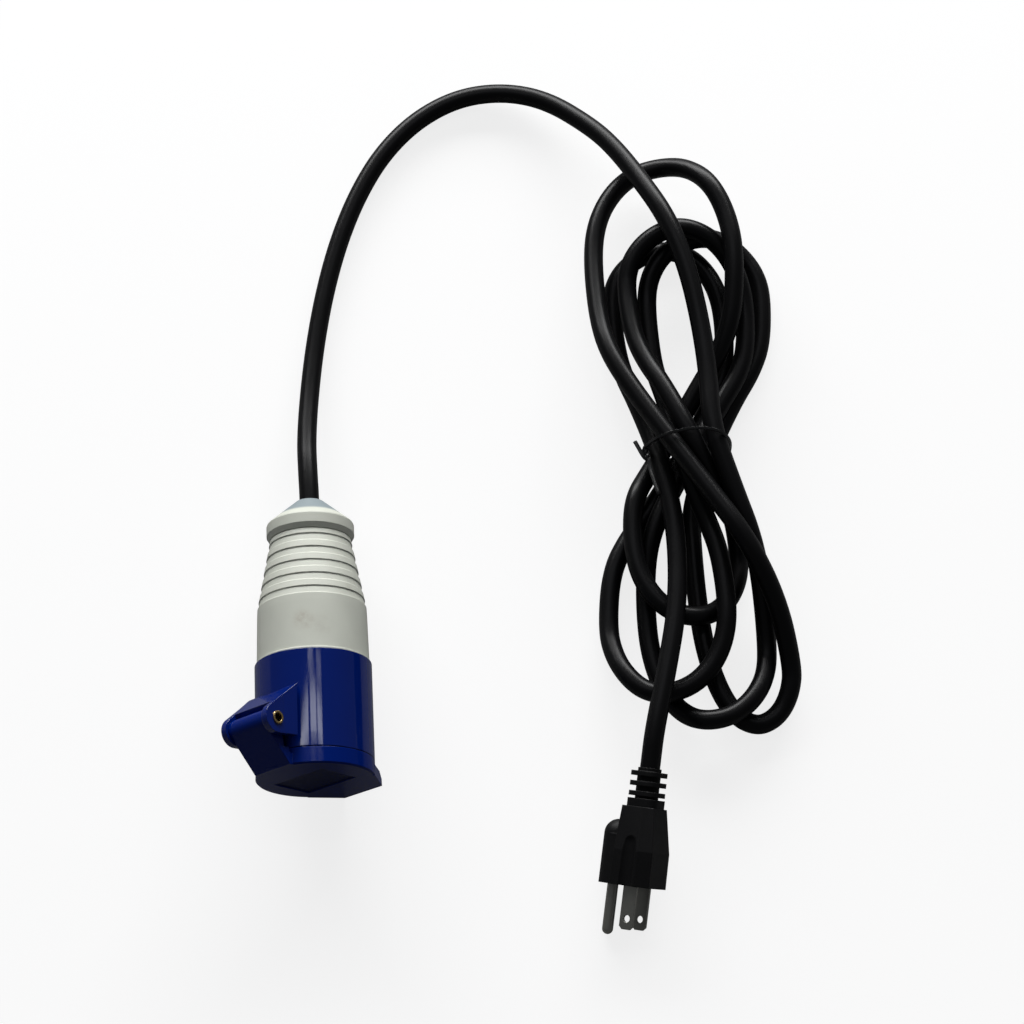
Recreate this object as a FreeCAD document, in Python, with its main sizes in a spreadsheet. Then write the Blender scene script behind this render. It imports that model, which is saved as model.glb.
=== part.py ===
# Shore power cord: a blue and grey round coupler with a sprung, hinged lid, a black rubber cord
# laid out in a curve and wound into a loose figure-eight hank held by a wire tie, and a moulded
# plug with two flat blades and a round ground pin.
#
# Millimetres, +Z up. Everything lies on z = 0. The origin is the middle of the coupler's outline
# on that surface. The coupler's lid end points along -Y.
#
# The coupler is built in its own frame: Z runs along its axis from the cord's exit towards the
# lid, and the hinge is on the +Y side. The plug's frame starts where the cord enters it: Z runs
# towards the tips of the blades, X through the pair of blades, and Y towards the ground pin.

import FreeCAD, Part
import math
import os

import Sketcher
from FreeCAD import Placement, Rotation, Vector

# Sizes: each one is a cell of the document's sheet, with its name as the alias.

SIZES = {
    "cord": {
        "cord_radius": 4.4,
        "core_radius": 1.5,
        "conductor_radius": 0.85,
        "cord_inside": 24.0,
        "core_circle": 2.2,
    },
    "clamp nut": {
        "nut_tip_radius": 6.4,
        "nut_cone_end": 11.2,
        "nut_radius": 19.45,
        "nut_band_end": 16.4,
        "nut_end": 18.4,
        "nut_end_radius": 18.2,
        "nut_exit_radius": 5.0,
        "nut_exit_end": 2.0,
        "nut_seat_radius": 10.5,
        "nut_seat_end": 8.6,
        "nut_thread_radius": 15.6,
    },
    "cord clamp": {
        "clamp_clearance": 0.25,
        "clamp_radius": 12.5,
        "clamp_rim": 1.1,
        "clamp_half_slot": 0.6,
        "grommet_length": 10.5,
    },
    "grip body": {
        "tail_end": 10.1,
        "tail_radius": 15.3,
        "tail_bore": 10.8,
        "shoulder_bore": 6.5,
        "shoulder_end": 23.0,
        "neck_radius": 18.0,
        "rib_start": 21.15,
        "rib_pitch": 6.6,
        "rib_low": 3.3,
        "rib_step": 0.4,
        "rib_first_radius": 18.5,
        "rib_last_radius": 23.4,
        "grip_radius": 24.15,
        "lip_radius": 25.2,
        "lip_length": 1.0,
        "grip_end": 77.0,
        "spigot_radius": 23.4,
        "spigot_bore": 21.0,
        "spigot_end": 82.7,
        "hollow_start": 31.0,
        "hollow_radius": 15.5,
        "hollow_full": 56.0,
        "seal_radius": 0.8,
    },
    "front housing": {
        "fit_gap": 0.1,
        "rear_radius": 25.6,
        "front_radius": 25.7,
        "socket_bore": 22.8,
        "partition_start": 83.0,
        "partition_end": 88.0,
        "seam": 120.9,
        "key_width": 6.0,
        "key_depth": 1.5,
    },
    "hinge": {
        "pin_offset": 34.6,
        "pin_height": 110.9,
        "pin_radius": 2.5,
        "pin_bore": 1.95,
        "pin_flare": 2.8,
        "pin_flare_length": 0.65,
        "pin_fit": 0.06,
        "ear_inside": 11.3,
        "ear_thickness": 3.0,
        "ear_draft": 1.3,
        "ear_nose": 6.5,
        "ear_top": 93.6,
        "ear_bottom": 116.8,
        "web_thickness": 2.2,
        "barrel_radius": 5.1,
        "barrel_half": 11.0,
        "barrel_hollow": 4.1,
        "barrel_hollow_half": 8.5,
        "arm_gap": 2.6,
        "spring_radius": 3.35,
        "spring_wire": 0.45,
    },
    "lid": {
        "lid_gap": 0.4,
        "lid_face": 128.7,
        "lid_radius": 25.9,
        "lid_plate": 123.2,
        "lid_lip_wall": 0.8,
        "lid_rib_inside": 20.4,
        "lid_rib_outside": 21.5,
        "lid_rib_end": 120.3,
        "gasket_inside": 22.0,
        "gasket_clearance": 0.2,
        "thumb_reach": 28.4,
        "thumb_half": 11.7,
        "thumb_edge": 3.0,
        "panel_depth": 0.5,
        "panel_width": 20.4,
        "panel_length": 30.0,
    },
    "contacts": {
        "carrier_radius": 17.6,
        "carrier_gap": 0.2,
        "carrier_face": 117.6,
        "carrier_flange": 20.7,
        "carrier_flange_start": 79.0,
        "carrier_rear_radius": 16.2,
        "carrier_rear": 69.0,
        "contact_circle": 10.5,
        "contact_rear": 59.0,
        "contact_front": 113.3,
        "contact_nose": 0.8,
        "contact_bore_depth": 25.0,
        "live_bore": 2.5,
        "live_radius": 4.0,
        "earth_bore": 3.5,
        "earth_radius": 5.0,
        "contact_gap": 0.1,
        "entry_gap": 0.5,
        "wire_hole_radius": 1.6,
        "wire_hole_depth": 9.0,
        "screw_radius": 1.5,
        "screw_height": 63.5,
        "screw_reach": 6.2,
        "mount_screw_circle": 19.0,
        "mount_screw_radius": 1.0,
        "mount_screw_head": 1.85,
        "mount_screw_end": 87.0,
    },
    "plug": {
        "relief_length": 17.0,
        "relief_radius": 5.1,
        "relief_pitch": 4.35,
        "relief_first": 2.4,
        "relief_disc": 2.1,
        "relief_wide": 7.3,
        "relief_tall": 6.6,
        "relief_collar": 3.6,
        "relief_bore": 4.5,
        "body_length": 34.2,
        "body_middle": 19.0,
        "rear_flat_half": 6.2,
        "rear_flat": 7.4,
        "rear_side_half": 8.2,
        "rear_side": 2.8,
        "rear_end_half": 7.2,
        "rear_end": 7.6,
        "flat_half": 8.5,
        "flat": 10.2,
        "side_half": 11.0,
        "side": 3.9,
        "end_half": 9.6,
        "end": 8.2,
        "lobe_radius": 6.4,
        "lobe_start": 29.6,
        "scoop_radius": 4.5,
        "scoop_out": 13.3,
        "scoop_side": 0.7,
        "scoop_start": 32.0,
        "blade_spacing": 12.7,
        "blade_width": 6.35,
        "blade_thickness": 1.52,
        "blade_reach": 18.6,
        "blade_corner": 1.4,
        "blade_hole": 1.6,
        "blade_hole_back": 4.7,
        "blade_root": 14.0,
        "blade_shift": 0.8,
        "ground_radius": 2.4,
        "ground_reach": 21.9,
        "ground_root": 1.9,
        "ground_offset": 11.9,
        "bridge_thickness": 4.0,
        "mould_gap": 0.05,
        "cord_in_plug": 24.0,
    },
    "tie": {
        "tie_radius": 0.5,
        "tie_twist": 0.68,
    },
    "layout": {
        "origin_x": -6.19,
        "origin_y": 0.46,
        "rest_gap": 0.08,
        "hinge_roll": 43.5,
        "coupler_heading": 0.4,
        "plug_heading": 10.3,
        "plug_dip": 13.0,
        "plug_roll": 27.0,
        "level_ground": 4.75,
        "level_step": 9.4,
        "waist": 88.0,
    },
}
SIZE = {name: value for group in SIZES.values() for name, value in group.items()}

doc = FreeCAD.newDocument("shore_power_cord")
sheet = doc.addObject("Spreadsheet::Sheet", "Sizes")
row = 1
for group, entries in SIZES.items():
    sheet.set("A%d" % row, group)
    row += 1
    for name, value in entries.items():
        sheet.set("A%d" % row, name)
        sheet.set("B%d" % row, str(value))
        sheet.setAlias("B%d" % row, name)
        row += 1
doc.recompute()


def number(text):
    """The value of a sum of named sizes and numbers, such as 'seam - key_depth'."""
    total = 0.0
    sign = 1
    for word in str(text).split():
        if word in "+-":
            sign = 1 if word == "+" else -1
        else:
            total += sign * (SIZE[word] if word in SIZE else float(word))
            sign = 1
    return total


def formula(text):
    """The same sum, written for the document's own expressions."""
    return " ".join("Sizes." + word if word in SIZE else word for word in str(text).split())


def bind(thing, **sums):
    for prop, text in sums.items():
        thing.setExpression(prop.replace("__", "."), formula(text))


# Parts of the model: sketches, turned bodies, cylinders, blocks, cuts and tubes.

PLANES = {"XY": "XY_Plane", "XZ": "XZ_Plane"}


def outline(body, plane, corners):
    """A closed polygon on one of the body's own planes; every corner is tied to the sheet."""
    base = [f for f in body.Origin.OriginFeatures if f.Role == PLANES[plane]][0]
    pen = body.newObject("Sketcher::SketchObject", body.Name + "_outline")
    pen.AttachmentSupport = [(base, "")]
    pen.MapMode = "FlatFace"
    spots = [Vector(number(a), number(b), 0) for a, b in corners]
    count = len(spots)
    for i in range(count):
        pen.addGeometry(Part.LineSegment(spots[i], spots[(i + 1) % count]), False)
    for i in range(count):
        pen.addConstraint(Sketcher.Constraint("Coincident", i, 2, (i + 1) % count, 1))
    for i, corner in enumerate(corners):
        for kind, axis, text in (("DistanceX", -2, corner[0]), ("DistanceY", -1, corner[1])):
            if text == "0":
                pen.addConstraint(Sketcher.Constraint("PointOnObject", i, 1, axis))
                continue
            spot = pen.addConstraint(Sketcher.Constraint(kind, -1, 1, i, 1, number(text)))
            pen.setExpression("Constraints[%d]" % spot, formula(text))
    return pen


def turned(name, corners, plane="XZ"):
    """A body turned about its Z axis from (radius, height) corners."""
    body = doc.addObject("PartDesign::Body", name)
    pen = outline(body, plane, corners)
    turn = body.newObject("PartDesign::Revolution", name + "_turn")
    turn.Profile = pen
    turn.ReferenceAxis = (pen, ["V_Axis"])
    turn.Angle = 360
    body.Tip = turn
    return body


def rod(name, radius, length, x="0", y="0", z="0", axis=None):
    """A cylinder from (x, y, z) along the given direction, +Z if none is given."""
    thing = doc.addObject("Part::Cylinder", name)
    bind(thing, Radius=radius, Height=length)
    bind(thing, Placement__Base__x=x, Placement__Base__y=y, Placement__Base__z=z)
    if axis is not None:
        turn = Rotation(Vector(0, 0, 1), axis)
        thing.Placement = Placement(Vector(number(x), number(y), number(z)), turn)
    return thing


def block(name, sizes, corner):
    thing = doc.addObject("Part::Box", name)
    bind(thing, Length=sizes[0], Width=sizes[1], Height=sizes[2])
    bind(thing, Placement__Base__x=corner[0], Placement__Base__y=corner[1],
         Placement__Base__z=corner[2])
    return thing


def joined(name, things):
    thing = doc.addObject("Part::MultiFuse", name)
    thing.Shapes = things
    return thing


def cut(name, base, tools):
    thing = doc.addObject("Part::Cut", name)
    thing.Base = base
    thing.Tool = tools[0] if len(tools) == 1 else joined(name + "_tools", tools)
    return thing


def unit(v):
    return v * (1.0 / v.Length)


def route_wire(points, report=None):
    """Straight runs joined by tangent arcs, each as large as its two runs allow."""
    edges = []
    start = points[0]
    radii = []
    for before, corner, after in zip(points, points[1:], points[2:]):
        a = before - corner
        b = after - corner
        turn = math.pi - a.getAngle(b)
        reach = 0.45 * min(a.Length, b.Length)
        radii.append(reach / math.tan(turn / 2))
        first = corner + unit(a) * reach
        last = corner + unit(b) * reach
        half = unit(unit(a) + unit(b))
        middle = corner + half * (radii[-1] / math.cos(turn / 2) - radii[-1])
        edges.append(Part.LineSegment(start, first).toShape())
        edges.append(Part.Arc(first, middle, last).toShape())
        start = last
    edges.append(Part.LineSegment(start, points[-1]).toShape())
    wire = Part.Wire(edges)
    if report:
        print(report, "length %.1f, radii" % wire.Length, " ".join("%.0f" % r for r in radii))
    return wire


def arc(start, heading, finish):
    """The arc from start to finish that leaves start along heading, or a line."""
    chord = finish - start
    side = chord - heading * chord.dot(heading)
    if side.Length < 1e-4 * chord.Length:
        return Part.LineSegment(start, finish).toShape()
    across = unit(side)
    radius = chord.dot(chord) / (2 * chord.dot(across))
    centre = start + across * radius
    angle = 2 * math.atan2(chord.dot(across), chord.dot(heading))
    middle = centre + (heading * math.sin(angle / 2) - across * math.cos(angle / 2)) * radius
    return Part.Arc(start, middle, finish).toShape()


def biarc(p, t, q, u):
    """The joint of two tangent arcs from p along t to q along u, and the heading there."""
    v = q - p
    both = t + u
    c = 2 * (1 - t.dot(u))
    if c < 1e-9:
        d = v.dot(v) / (2 * v.dot(both))
    else:
        d = (math.sqrt(v.dot(both) ** 2 + c * v.dot(v)) - v.dot(both)) / c
    joint = (p + q + (t - u) * d) * 0.5
    return joint, unit((q - u * d) - (p + t * d))


def biarc_wire(spots, headings):
    edges = []
    for p, t, q, u in zip(spots, headings, spots[1:], headings[1:]):
        joint, along = biarc(p, t, q, u)
        edges.append(arc(p, t, joint))
        edges.append(arc(joint, along, q))
    return Part.Wire(edges)


def tube(wire, radius, report=None):
    first = wire.OrderedEdges[0]
    heading = first.tangentAt(first.FirstParameter)
    begin = first.valueAt(first.FirstParameter)
    if (begin - wire.OrderedVertexes[0].Point).Length > 1e-6:
        begin = first.valueAt(first.LastParameter)
        heading = first.tangentAt(first.LastParameter) * -1
    ring = Part.Wire([Part.Circle(begin, heading, radius).toShape()])
    shape = wire.makePipeShell([ring], True, False)
    if report:
        expected = math.pi * radius ** 2 * wire.Length
        print(report, "volume / (section x length) %.4f" % (shape.Volume / expected))
    return shape


def plain(name, shape, place=None):
    """A piece whose shape is worked out here, from the same named sizes."""
    thing = doc.addObject("Part::Feature", name)
    thing.Shape = shape
    if place is not None:
        thing.Placement = place
    return thing


# Where the coupler, the cord and the plug lie.

def frame(origin, x, y, z):
    m = FreeCAD.Matrix(x.x, y.x, z.x, origin.x, x.y, y.y, z.y, origin.y,
                       x.z, y.z, z.z, origin.z, 0, 0, 0, 1)
    return Placement(m)


ORIGIN = Vector(number("origin_x"), number("origin_y"), 0)
ROLL = math.radians(SIZE["hinge_roll"])
REAR_EDGE = number("grip_end + fit_gap")
THUMB_DROP = SIZE["thumb_reach"] * math.cos(ROLL) + SIZE["thumb_half"] * math.sin(ROLL)
TILT = math.atan((THUMB_DROP - SIZE["rear_radius"]) / (SIZE["lid_face"] - REAR_EDGE))


def heading(turned_by, rise):
    """Directions along and to the left of something that points to -Y, turned and raised."""
    along = Vector(-math.sin(turned_by) * math.cos(rise), -math.cos(turned_by) * math.cos(rise),
                   math.sin(rise))
    return along, Vector(-math.cos(turned_by), math.sin(turned_by), 0)


ALONG, LEFT = heading(math.radians(SIZE["coupler_heading"]), TILT)
UPWARD = LEFT.cross(ALONG)
HINGE_SIDE = UPWARD * math.cos(ROLL) + LEFT * math.sin(ROLL)
COUPLER_START = Vector(-0.05, 65.4, SIZE["rear_radius"] * math.cos(TILT)
                       - REAR_EDGE * math.sin(TILT) + SIZE["rest_gap"])
COUPLER = frame(COUPLER_START - ORIGIN, HINGE_SIDE.cross(ALONG), HINGE_SIDE, ALONG)

PLUG_ALONG, PLUG_LEFT = heading(math.radians(SIZE["plug_heading"]), -math.radians(SIZE["plug_dip"]))
PLUG_UP = PLUG_LEFT.cross(PLUG_ALONG)
PLUG_ROLL = math.radians(SIZE["plug_roll"])
PLUG_X = PLUG_UP * math.cos(PLUG_ROLL) + PLUG_LEFT * math.sin(PLUG_ROLL)
PLUG_Y = PLUG_LEFT * math.cos(PLUG_ROLL) - PLUG_UP * math.sin(PLUG_ROLL)
PLUG_START = Vector(143.4, -64.1, 23.7)
PLUG = frame(PLUG_START - ORIGIN, PLUG_X, PLUG_Y, PLUG_ALONG)

NODES = []


def node(thing, name, place):
    thing.Label = name
    thing.Placement = place.multiply(thing.Placement)
    NODES.append(thing)


# Clamp nut: a cone that the cord comes out of, a plain band, and a taper down to the grip.

node(turned("ClampNut", [
    ("nut_exit_radius", "0"),
    ("nut_tip_radius", "0"),
    ("nut_radius - 0.2", "nut_cone_end"),
    ("nut_radius", "nut_cone_end + 0.6"),
    ("nut_radius", "nut_band_end - 0.2"),
    ("nut_radius - 0.15", "nut_band_end"),
    ("nut_end_radius", "nut_end"),
    ("nut_thread_radius", "nut_end"),
    ("nut_thread_radius", "tail_end - 0.1"),
    ("clamp_radius + 0.9", "nut_seat_end"),
    ("nut_seat_radius", "nut_seat_end"),
    ("nut_exit_radius", "nut_exit_end"),
]), "clamp_nut", COUPLER)

# Clamp jaws: a slit cone ring that the nut's seat presses onto the cord.

jaws = turned("ClampJaws", [
    ("cord_radius + clamp_clearance", "nut_exit_end + 0.7"),
    ("nut_exit_radius + 0.35", "nut_exit_end + 0.7"),
    ("nut_seat_radius - 0.5", "nut_seat_end + 0.2"),
    ("clamp_radius", "nut_seat_end + 0.2"),
    ("clamp_radius", "nut_seat_end + 0.2 + clamp_rim"),
    ("cord_radius + clamp_clearance", "nut_seat_end + 0.2 + clamp_rim"),
])
slot = outline(jaws, "XY", [
    ("cord_radius - 1", "0 - clamp_half_slot"),
    ("nut_seat_radius - 0.2", "0 - clamp_half_slot"),
    ("nut_seat_radius - 0.2", "clamp_half_slot"),
    ("cord_radius - 1", "clamp_half_slot"),
])
slit = jaws.newObject("PartDesign::Pocket", "ClampJaws_slit")
slit.Profile = slot
slit.Reversed = True
bind(slit, Length="nut_seat_end - 0.4")
jaws.Tip = slit
doc.recompute()
whole = jaws.Group[1].Shape.Volume
around = jaws.newObject("PartDesign::PolarPattern", "ClampJaws_slits")
around.Originals = [slit]
around.Axis = (slot, ["N_Axis"])
around.Angle = 360
around.Occurrences = 6
jaws.Tip = around
doc.recompute()
print("clamp jaws volume %.0f of %.0f" % (jaws.Shape.Volume, whole))
node(jaws, "clamp_jaws", COUPLER)

# Cable grommet: a rubber sleeve round the cord in the grip body's tail.

node(turned("CableGrommet", [
    ("cord_radius + 0.1", "tail_end"),
    ("tail_bore - 0.2", "tail_end"),
    ("tail_bore - 0.2", "tail_end + grommet_length"),
    ("cord_radius + 0.1", "tail_end + grommet_length"),
]), "cable_grommet", COUPLER)

# Grip body: threaded tail, a neck of low and raised rings that widens towards the lid, plain grip,
# lip and spigot.

RIBS = 5
widening = number("rib_last_radius - rib_first_radius") / (RIBS - 1)
profile = [
    ("tail_bore", "tail_end"),
    ("tail_radius", "tail_end"),
    ("tail_radius", "nut_end + 0.3"),
    ("neck_radius", "nut_end + 0.3"),
]
slope = widening / SIZE["rib_pitch"]
for i in range(RIBS):
    crest = "rib_first_radius + %.4f" % (widening * i)
    edge = "rib_start + %.4f" % (SIZE["rib_pitch"] * i)
    low_end = "%.4f" % (slope * SIZE["rib_low"])
    profile.append((crest, edge + " - 0.12"))
    profile.append((crest + " - rib_step", edge + " + 0.12"))
    profile.append((crest + " - rib_step + " + low_end, edge + " + rib_low - 0.15"))
    profile.append((crest + " + " + low_end, edge + " + rib_low + 0.15"))
profile += [
    ("grip_radius", "rib_start + %.4f" % (SIZE["rib_pitch"] * RIBS)),
    ("grip_radius + 0.45", "grip_end - lip_length"),
    ("lip_radius", "grip_end - lip_length + 0.3"),
    ("lip_radius", "grip_end"),
    ("spigot_radius", "grip_end"),
    ("spigot_radius", "grip_end + 2.2"),
    ("spigot_radius - 1.1", "grip_end + 2.2"),
    ("spigot_radius - 1.1", "grip_end + 4.0"),
    ("spigot_radius", "grip_end + 4.0"),
    ("spigot_radius", "spigot_end"),
    ("spigot_bore", "spigot_end"),
    ("spigot_bore", "hollow_full"),
    ("hollow_radius", "hollow_start"),
    ("shoulder_bore", "shoulder_end"),
    ("shoulder_bore", "tail_end + grommet_length + 0.2"),
    ("tail_bore", "tail_end + grommet_length + 0.2"),
]
node(turned("GripBody", profile), "grip_body", COUPLER)

# Body seal: a rubber ring in the spigot's groove.

seal = doc.addObject("Part::Torus", "BodySeal")
bind(seal, Radius1="spigot_radius - 0.25", Radius2="seal_radius")
seal.Placement = Placement(Vector(0, 0, number("grip_end + 3.1")), Rotation())
node(seal, "body_seal", COUPLER)

# Front housing: sleeve with a partition, a key groove and the hinge's two ears and web.

sleeve = turned("Sleeve", [
    ("spigot_radius + fit_gap", "grip_end + fit_gap"),
    ("rear_radius", "grip_end + fit_gap"),
    ("front_radius", "seam - 6"),
    ("front_radius", "seam"),
    ("socket_bore", "seam"),
    ("socket_bore", "partition_end"),
    ("carrier_radius + carrier_gap", "partition_end"),
    ("carrier_radius + carrier_gap", "partition_start"),
    ("spigot_radius + fit_gap", "partition_start"),
])


def tangent_spot(y, z, side):
    """Where the line from (y, z) touches the ear's round nose."""
    to = Vector(0, SIZE["pin_offset"] - y, SIZE["pin_height"] - z)
    reach = math.sqrt(to.Length ** 2 - SIZE["ear_nose"] ** 2)
    angle = math.atan2(to.z, to.y) + side * math.asin(SIZE["ear_nose"] / to.Length)
    return Vector(0, y + reach * math.cos(angle), z + reach * math.sin(angle)), angle


ROOT = number("socket_bore + 1.2")
upper, upper_angle = tangent_spot(ROOT, SIZE["ear_top"], -1)
lower, lower_angle = tangent_spot(ROOT, SIZE["ear_bottom"], 1)
upper_root = Vector(0, ROOT, SIZE["ear_top"])
lower_root = Vector(0, ROOT, SIZE["ear_bottom"])
tip = Vector(0, SIZE["pin_offset"] + SIZE["ear_nose"] * math.cos(0.3),
             SIZE["pin_height"] + SIZE["ear_nose"] * math.sin(0.3))
ear_edge = Part.Wire([
    Part.LineSegment(upper_root, upper).toShape(),
    Part.Arc(upper, tip, lower).toShape(),
    Part.LineSegment(lower, lower_root).toShape(),
    Part.LineSegment(lower_root, upper_root).toShape(),
])
ear_face = Part.Face(ear_edge)
ears = []
for side in (-1, 1):
    near = Vector(side * SIZE["ear_inside"], 0, 0)
    far = Vector(side * number("ear_thickness + ear_draft"), 0, 0)
    face = side * number("ear_inside + ear_thickness")
    beyond = Part.Face(Part.makePolygon([
        Vector(face, 60, 80), Vector(face, number("pin_offset - ear_nose + 2.5"), 80),
        Vector(face + side * SIZE["ear_draft"], 21.5, 80), Vector(side * 40, 21.5, 80),
        Vector(side * 40, 60, 80), Vector(face, 60, 80)])).extrude(Vector(0, 0, 60))
    ears.append(ear_face.translated(near).extrude(far).cut(beyond))
along = unit(upper - upper_root)
across = Vector(0, -along.z, along.y)
web_length = (upper - upper_root).Length - math.sqrt(
    number("barrel_radius + 0.7") ** 2 - number("ear_nose - web_thickness") ** 2)
web_corners = [upper_root, upper_root + along * web_length,
               upper_root + along * web_length + across * SIZE["web_thickness"],
               upper_root + across * SIZE["web_thickness"] * 3, upper_root]
web = Part.Face(Part.makePolygon(web_corners)).translated(
    Vector(-SIZE["ear_inside"] - 0.5, 0, 0)).extrude(Vector(number("ear_inside + ear_inside + 1"), 0, 0))
outside = Part.makeCylinder(SIZE["socket_bore"] + 1.0, 200)
bracket = plain("Bracket", ears[0].fuse([ears[1], web]).cut(outside).removeSplitter())
pin_hole = rod("PinHole", "pin_radius + pin_fit", "ear_inside + ear_inside + 20",
               "0 - ear_inside - 10", "pin_offset", "pin_height", Vector(1, 0, 0))
key = block("KeyGroove", ("key_width", "key_depth + 1", "seam - partition_end"),
            ("0 - 3", "0 - socket_bore - key_depth", "partition_end"))
node(cut("FrontHousing", joined("SleeveAndEars", [sleeve, bracket]), [pin_hole, key]),
     "front_housing", COUPLER)

# Hinge pin: a brass tube through both ears, flared at its ends.

pin = doc.addObject("PartDesign::Body", "HingePin")
pen = outline(pin, "XY", [
    ("0 - ear_inside - ear_thickness - pin_flare_length", "pin_bore"),
    ("0 - ear_inside - ear_thickness - pin_flare_length", "pin_flare"),
    ("0 - ear_inside - ear_thickness", "pin_flare"),
    ("0 - ear_inside - ear_thickness", "pin_radius"),
    ("ear_inside + ear_thickness", "pin_radius"),
    ("ear_inside + ear_thickness", "pin_flare"),
    ("ear_inside + ear_thickness + pin_flare_length", "pin_flare"),
    ("ear_inside + ear_thickness + pin_flare_length", "pin_bore"),
])
turn = pin.newObject("PartDesign::Revolution", "HingePin_turn")
turn.Profile = pen
turn.ReferenceAxis = (pen, ["H_Axis"])
turn.Angle = 360
pin.Tip = turn
pin.Placement = Placement(Vector(0, SIZE["pin_offset"], SIZE["pin_height"]), Rotation())
node(pin, "hinge_pin", COUPLER)

# Lid spring: a coil round the pin, inside the lid's barrel.

SPRING_TURNS = 8
pitch = number("barrel_hollow_half + barrel_hollow_half - 3") / SPRING_TURNS
spots = []
headings = []
for i in range(2 * SPRING_TURNS + 1):
    angle = math.pi * i
    x = -SPRING_TURNS * pitch / 2 + pitch * i / 2
    spots.append(Vector(x, SIZE["pin_offset"] + SIZE["spring_radius"] * math.cos(angle),
                        SIZE["pin_height"] + SIZE["spring_radius"] * math.sin(angle)))
    headings.append(unit(Vector(pitch / (2 * math.pi), -SIZE["spring_radius"] * math.sin(angle),
                                SIZE["spring_radius"] * math.cos(angle))))
coil = tube(biarc_wire(spots, headings), SIZE["spring_wire"], "lid spring")
node(plain("LidSpring", coil), "lid_spring", COUPLER)

# Lid: round cap with a lip over the gasket, a gasket rib, a thumb edge opposite the hinge, an arm
# and a hollow barrel on the pin, and a shallow bare panel on its face.

cap = turned("LidCap", [
    ("0", "lid_plate"),
    ("lid_rib_inside", "lid_plate"),
    ("lid_rib_inside", "lid_rib_end"),
    ("lid_rib_outside", "lid_rib_end"),
    ("lid_rib_outside", "lid_plate"),
    ("front_radius - lid_lip_wall", "lid_plate"),
    ("front_radius - lid_lip_wall", "seam + lid_gap"),
    ("front_radius", "seam + lid_gap"),
    ("lid_radius", "lid_face - 0.6"),
    ("lid_radius - 0.6", "lid_face"),
    ("0", "lid_face"),
])
HALF = SIZE["thumb_half"]
REACH = SIZE["thumb_reach"]
RIM = SIZE["lid_radius"]
far_corner = math.hypot(HALF, REACH)
touch = math.atan2(REACH, HALF) - math.acos(RIM / far_corner)
touch_x = RIM * math.cos(touch)
touch_y = -RIM * math.sin(touch)
thumb_plan = Part.Face(Part.makePolygon([
    Vector(-touch_x, touch_y, 0), Vector(-HALF, -REACH, 0), Vector(HALF, -REACH, 0),
    Vector(touch_x, touch_y, 0), Vector(0, 0, 0), Vector(-touch_x, touch_y, 0)]))
thumb_plan = thumb_plan.translated(Vector(0, 0, SIZE["seam"])).extrude(
    Vector(0, 0, number("lid_face - seam")))
thumb_side = Part.Face(Part.makePolygon([
    Vector(0, -5, number("seam + 3")), Vector(0, -number("front_radius - 1.5"), number("seam + 2.6")),
    Vector(0, -REACH + 0.4, number("lid_face - thumb_edge")), Vector(0, -REACH, SIZE["lid_face"]),
    Vector(0, -5, SIZE["lid_face"]), Vector(0, -5, number("seam + 3"))]))
thumb_side = thumb_side.translated(Vector(-40, 0, 0)).extrude(Vector(80, 0, 0))
thumb = plain("Thumb", thumb_plan.common(thumb_side))
BARREL = Vector(0, SIZE["pin_offset"], SIZE["pin_height"])
out_angle = math.radians(38)
arm_corners = [
    BARREL + Vector(0, math.cos(out_angle), math.sin(out_angle)) * SIZE["barrel_radius"],
    Vector(0, number("lid_radius - 0.9"), SIZE["lid_face"]),
    Vector(0, number("lid_radius - 7"), SIZE["lid_face"]),
    Vector(0, number("lid_radius - 7"), number("lid_plate + 0.5")),
    Vector(0, number("front_radius - 0.75"), number("lid_plate + 0.4")),
    Vector(0, number("front_radius - 0.4"), number("seam + lid_gap + 0.1")),
    Vector(0, number("front_radius + arm_gap"), number("seam + lid_gap + 0.3")),
    BARREL + Vector(0, math.cos(out_angle + 2.3), math.sin(out_angle + 2.3)) * SIZE["barrel_radius"],
    BARREL,
]
arm = Part.Face(Part.makePolygon(arm_corners + arm_corners[:1])).translated(
    Vector(-SIZE["barrel_half"], 0, 0)).extrude(Vector(number("barrel_half + barrel_half"), 0, 0))
arm = plain("LidArm", arm)
barrel = rod("LidBarrel", "barrel_radius", "barrel_half + barrel_half",
             "0 - barrel_half", "pin_offset", "pin_height", Vector(1, 0, 0))
lid_bore = rod("LidBore", "pin_radius + pin_fit", "barrel_half + barrel_half + 4",
               "0 - barrel_half - 2", "pin_offset", "pin_height", Vector(1, 0, 0))
lid_hollow = rod("LidHollow", "barrel_hollow", "barrel_hollow_half + barrel_hollow_half",
                 "0 - barrel_hollow_half", "pin_offset", "pin_height", Vector(1, 0, 0))
window = block("LidWindow", ("barrel_hollow_half + barrel_hollow_half", "barrel_radius + 1", "5"),
               ("0 - barrel_hollow_half", "pin_offset - barrel_radius - 1", "pin_height - 3.4"))
panel = block("LidPanel", ("panel_length", "panel_width", "panel_depth + 1"),
              ("0 - 16", "0 - 10.7", "lid_face - panel_depth"))
node(cut("Lid", joined("LidSolid", [cap, thumb, arm, barrel]),
         [lid_bore, lid_hollow, window, panel]), "lid", COUPLER)

# Lid gasket: a flat rubber ring in the lid's groove, over the sleeve's rim.

node(turned("LidGasket", [
    ("gasket_inside", "seam + gasket_clearance"),
    ("front_radius - lid_lip_wall - 0.15", "seam + gasket_clearance"),
    ("front_radius - lid_lip_wall - 0.15", "lid_plate"),
    ("gasket_inside", "lid_plate"),
]), "lid_gasket", COUPLER)

# Contact carrier: the round insert with three stepped holes, held behind the partition.

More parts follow.
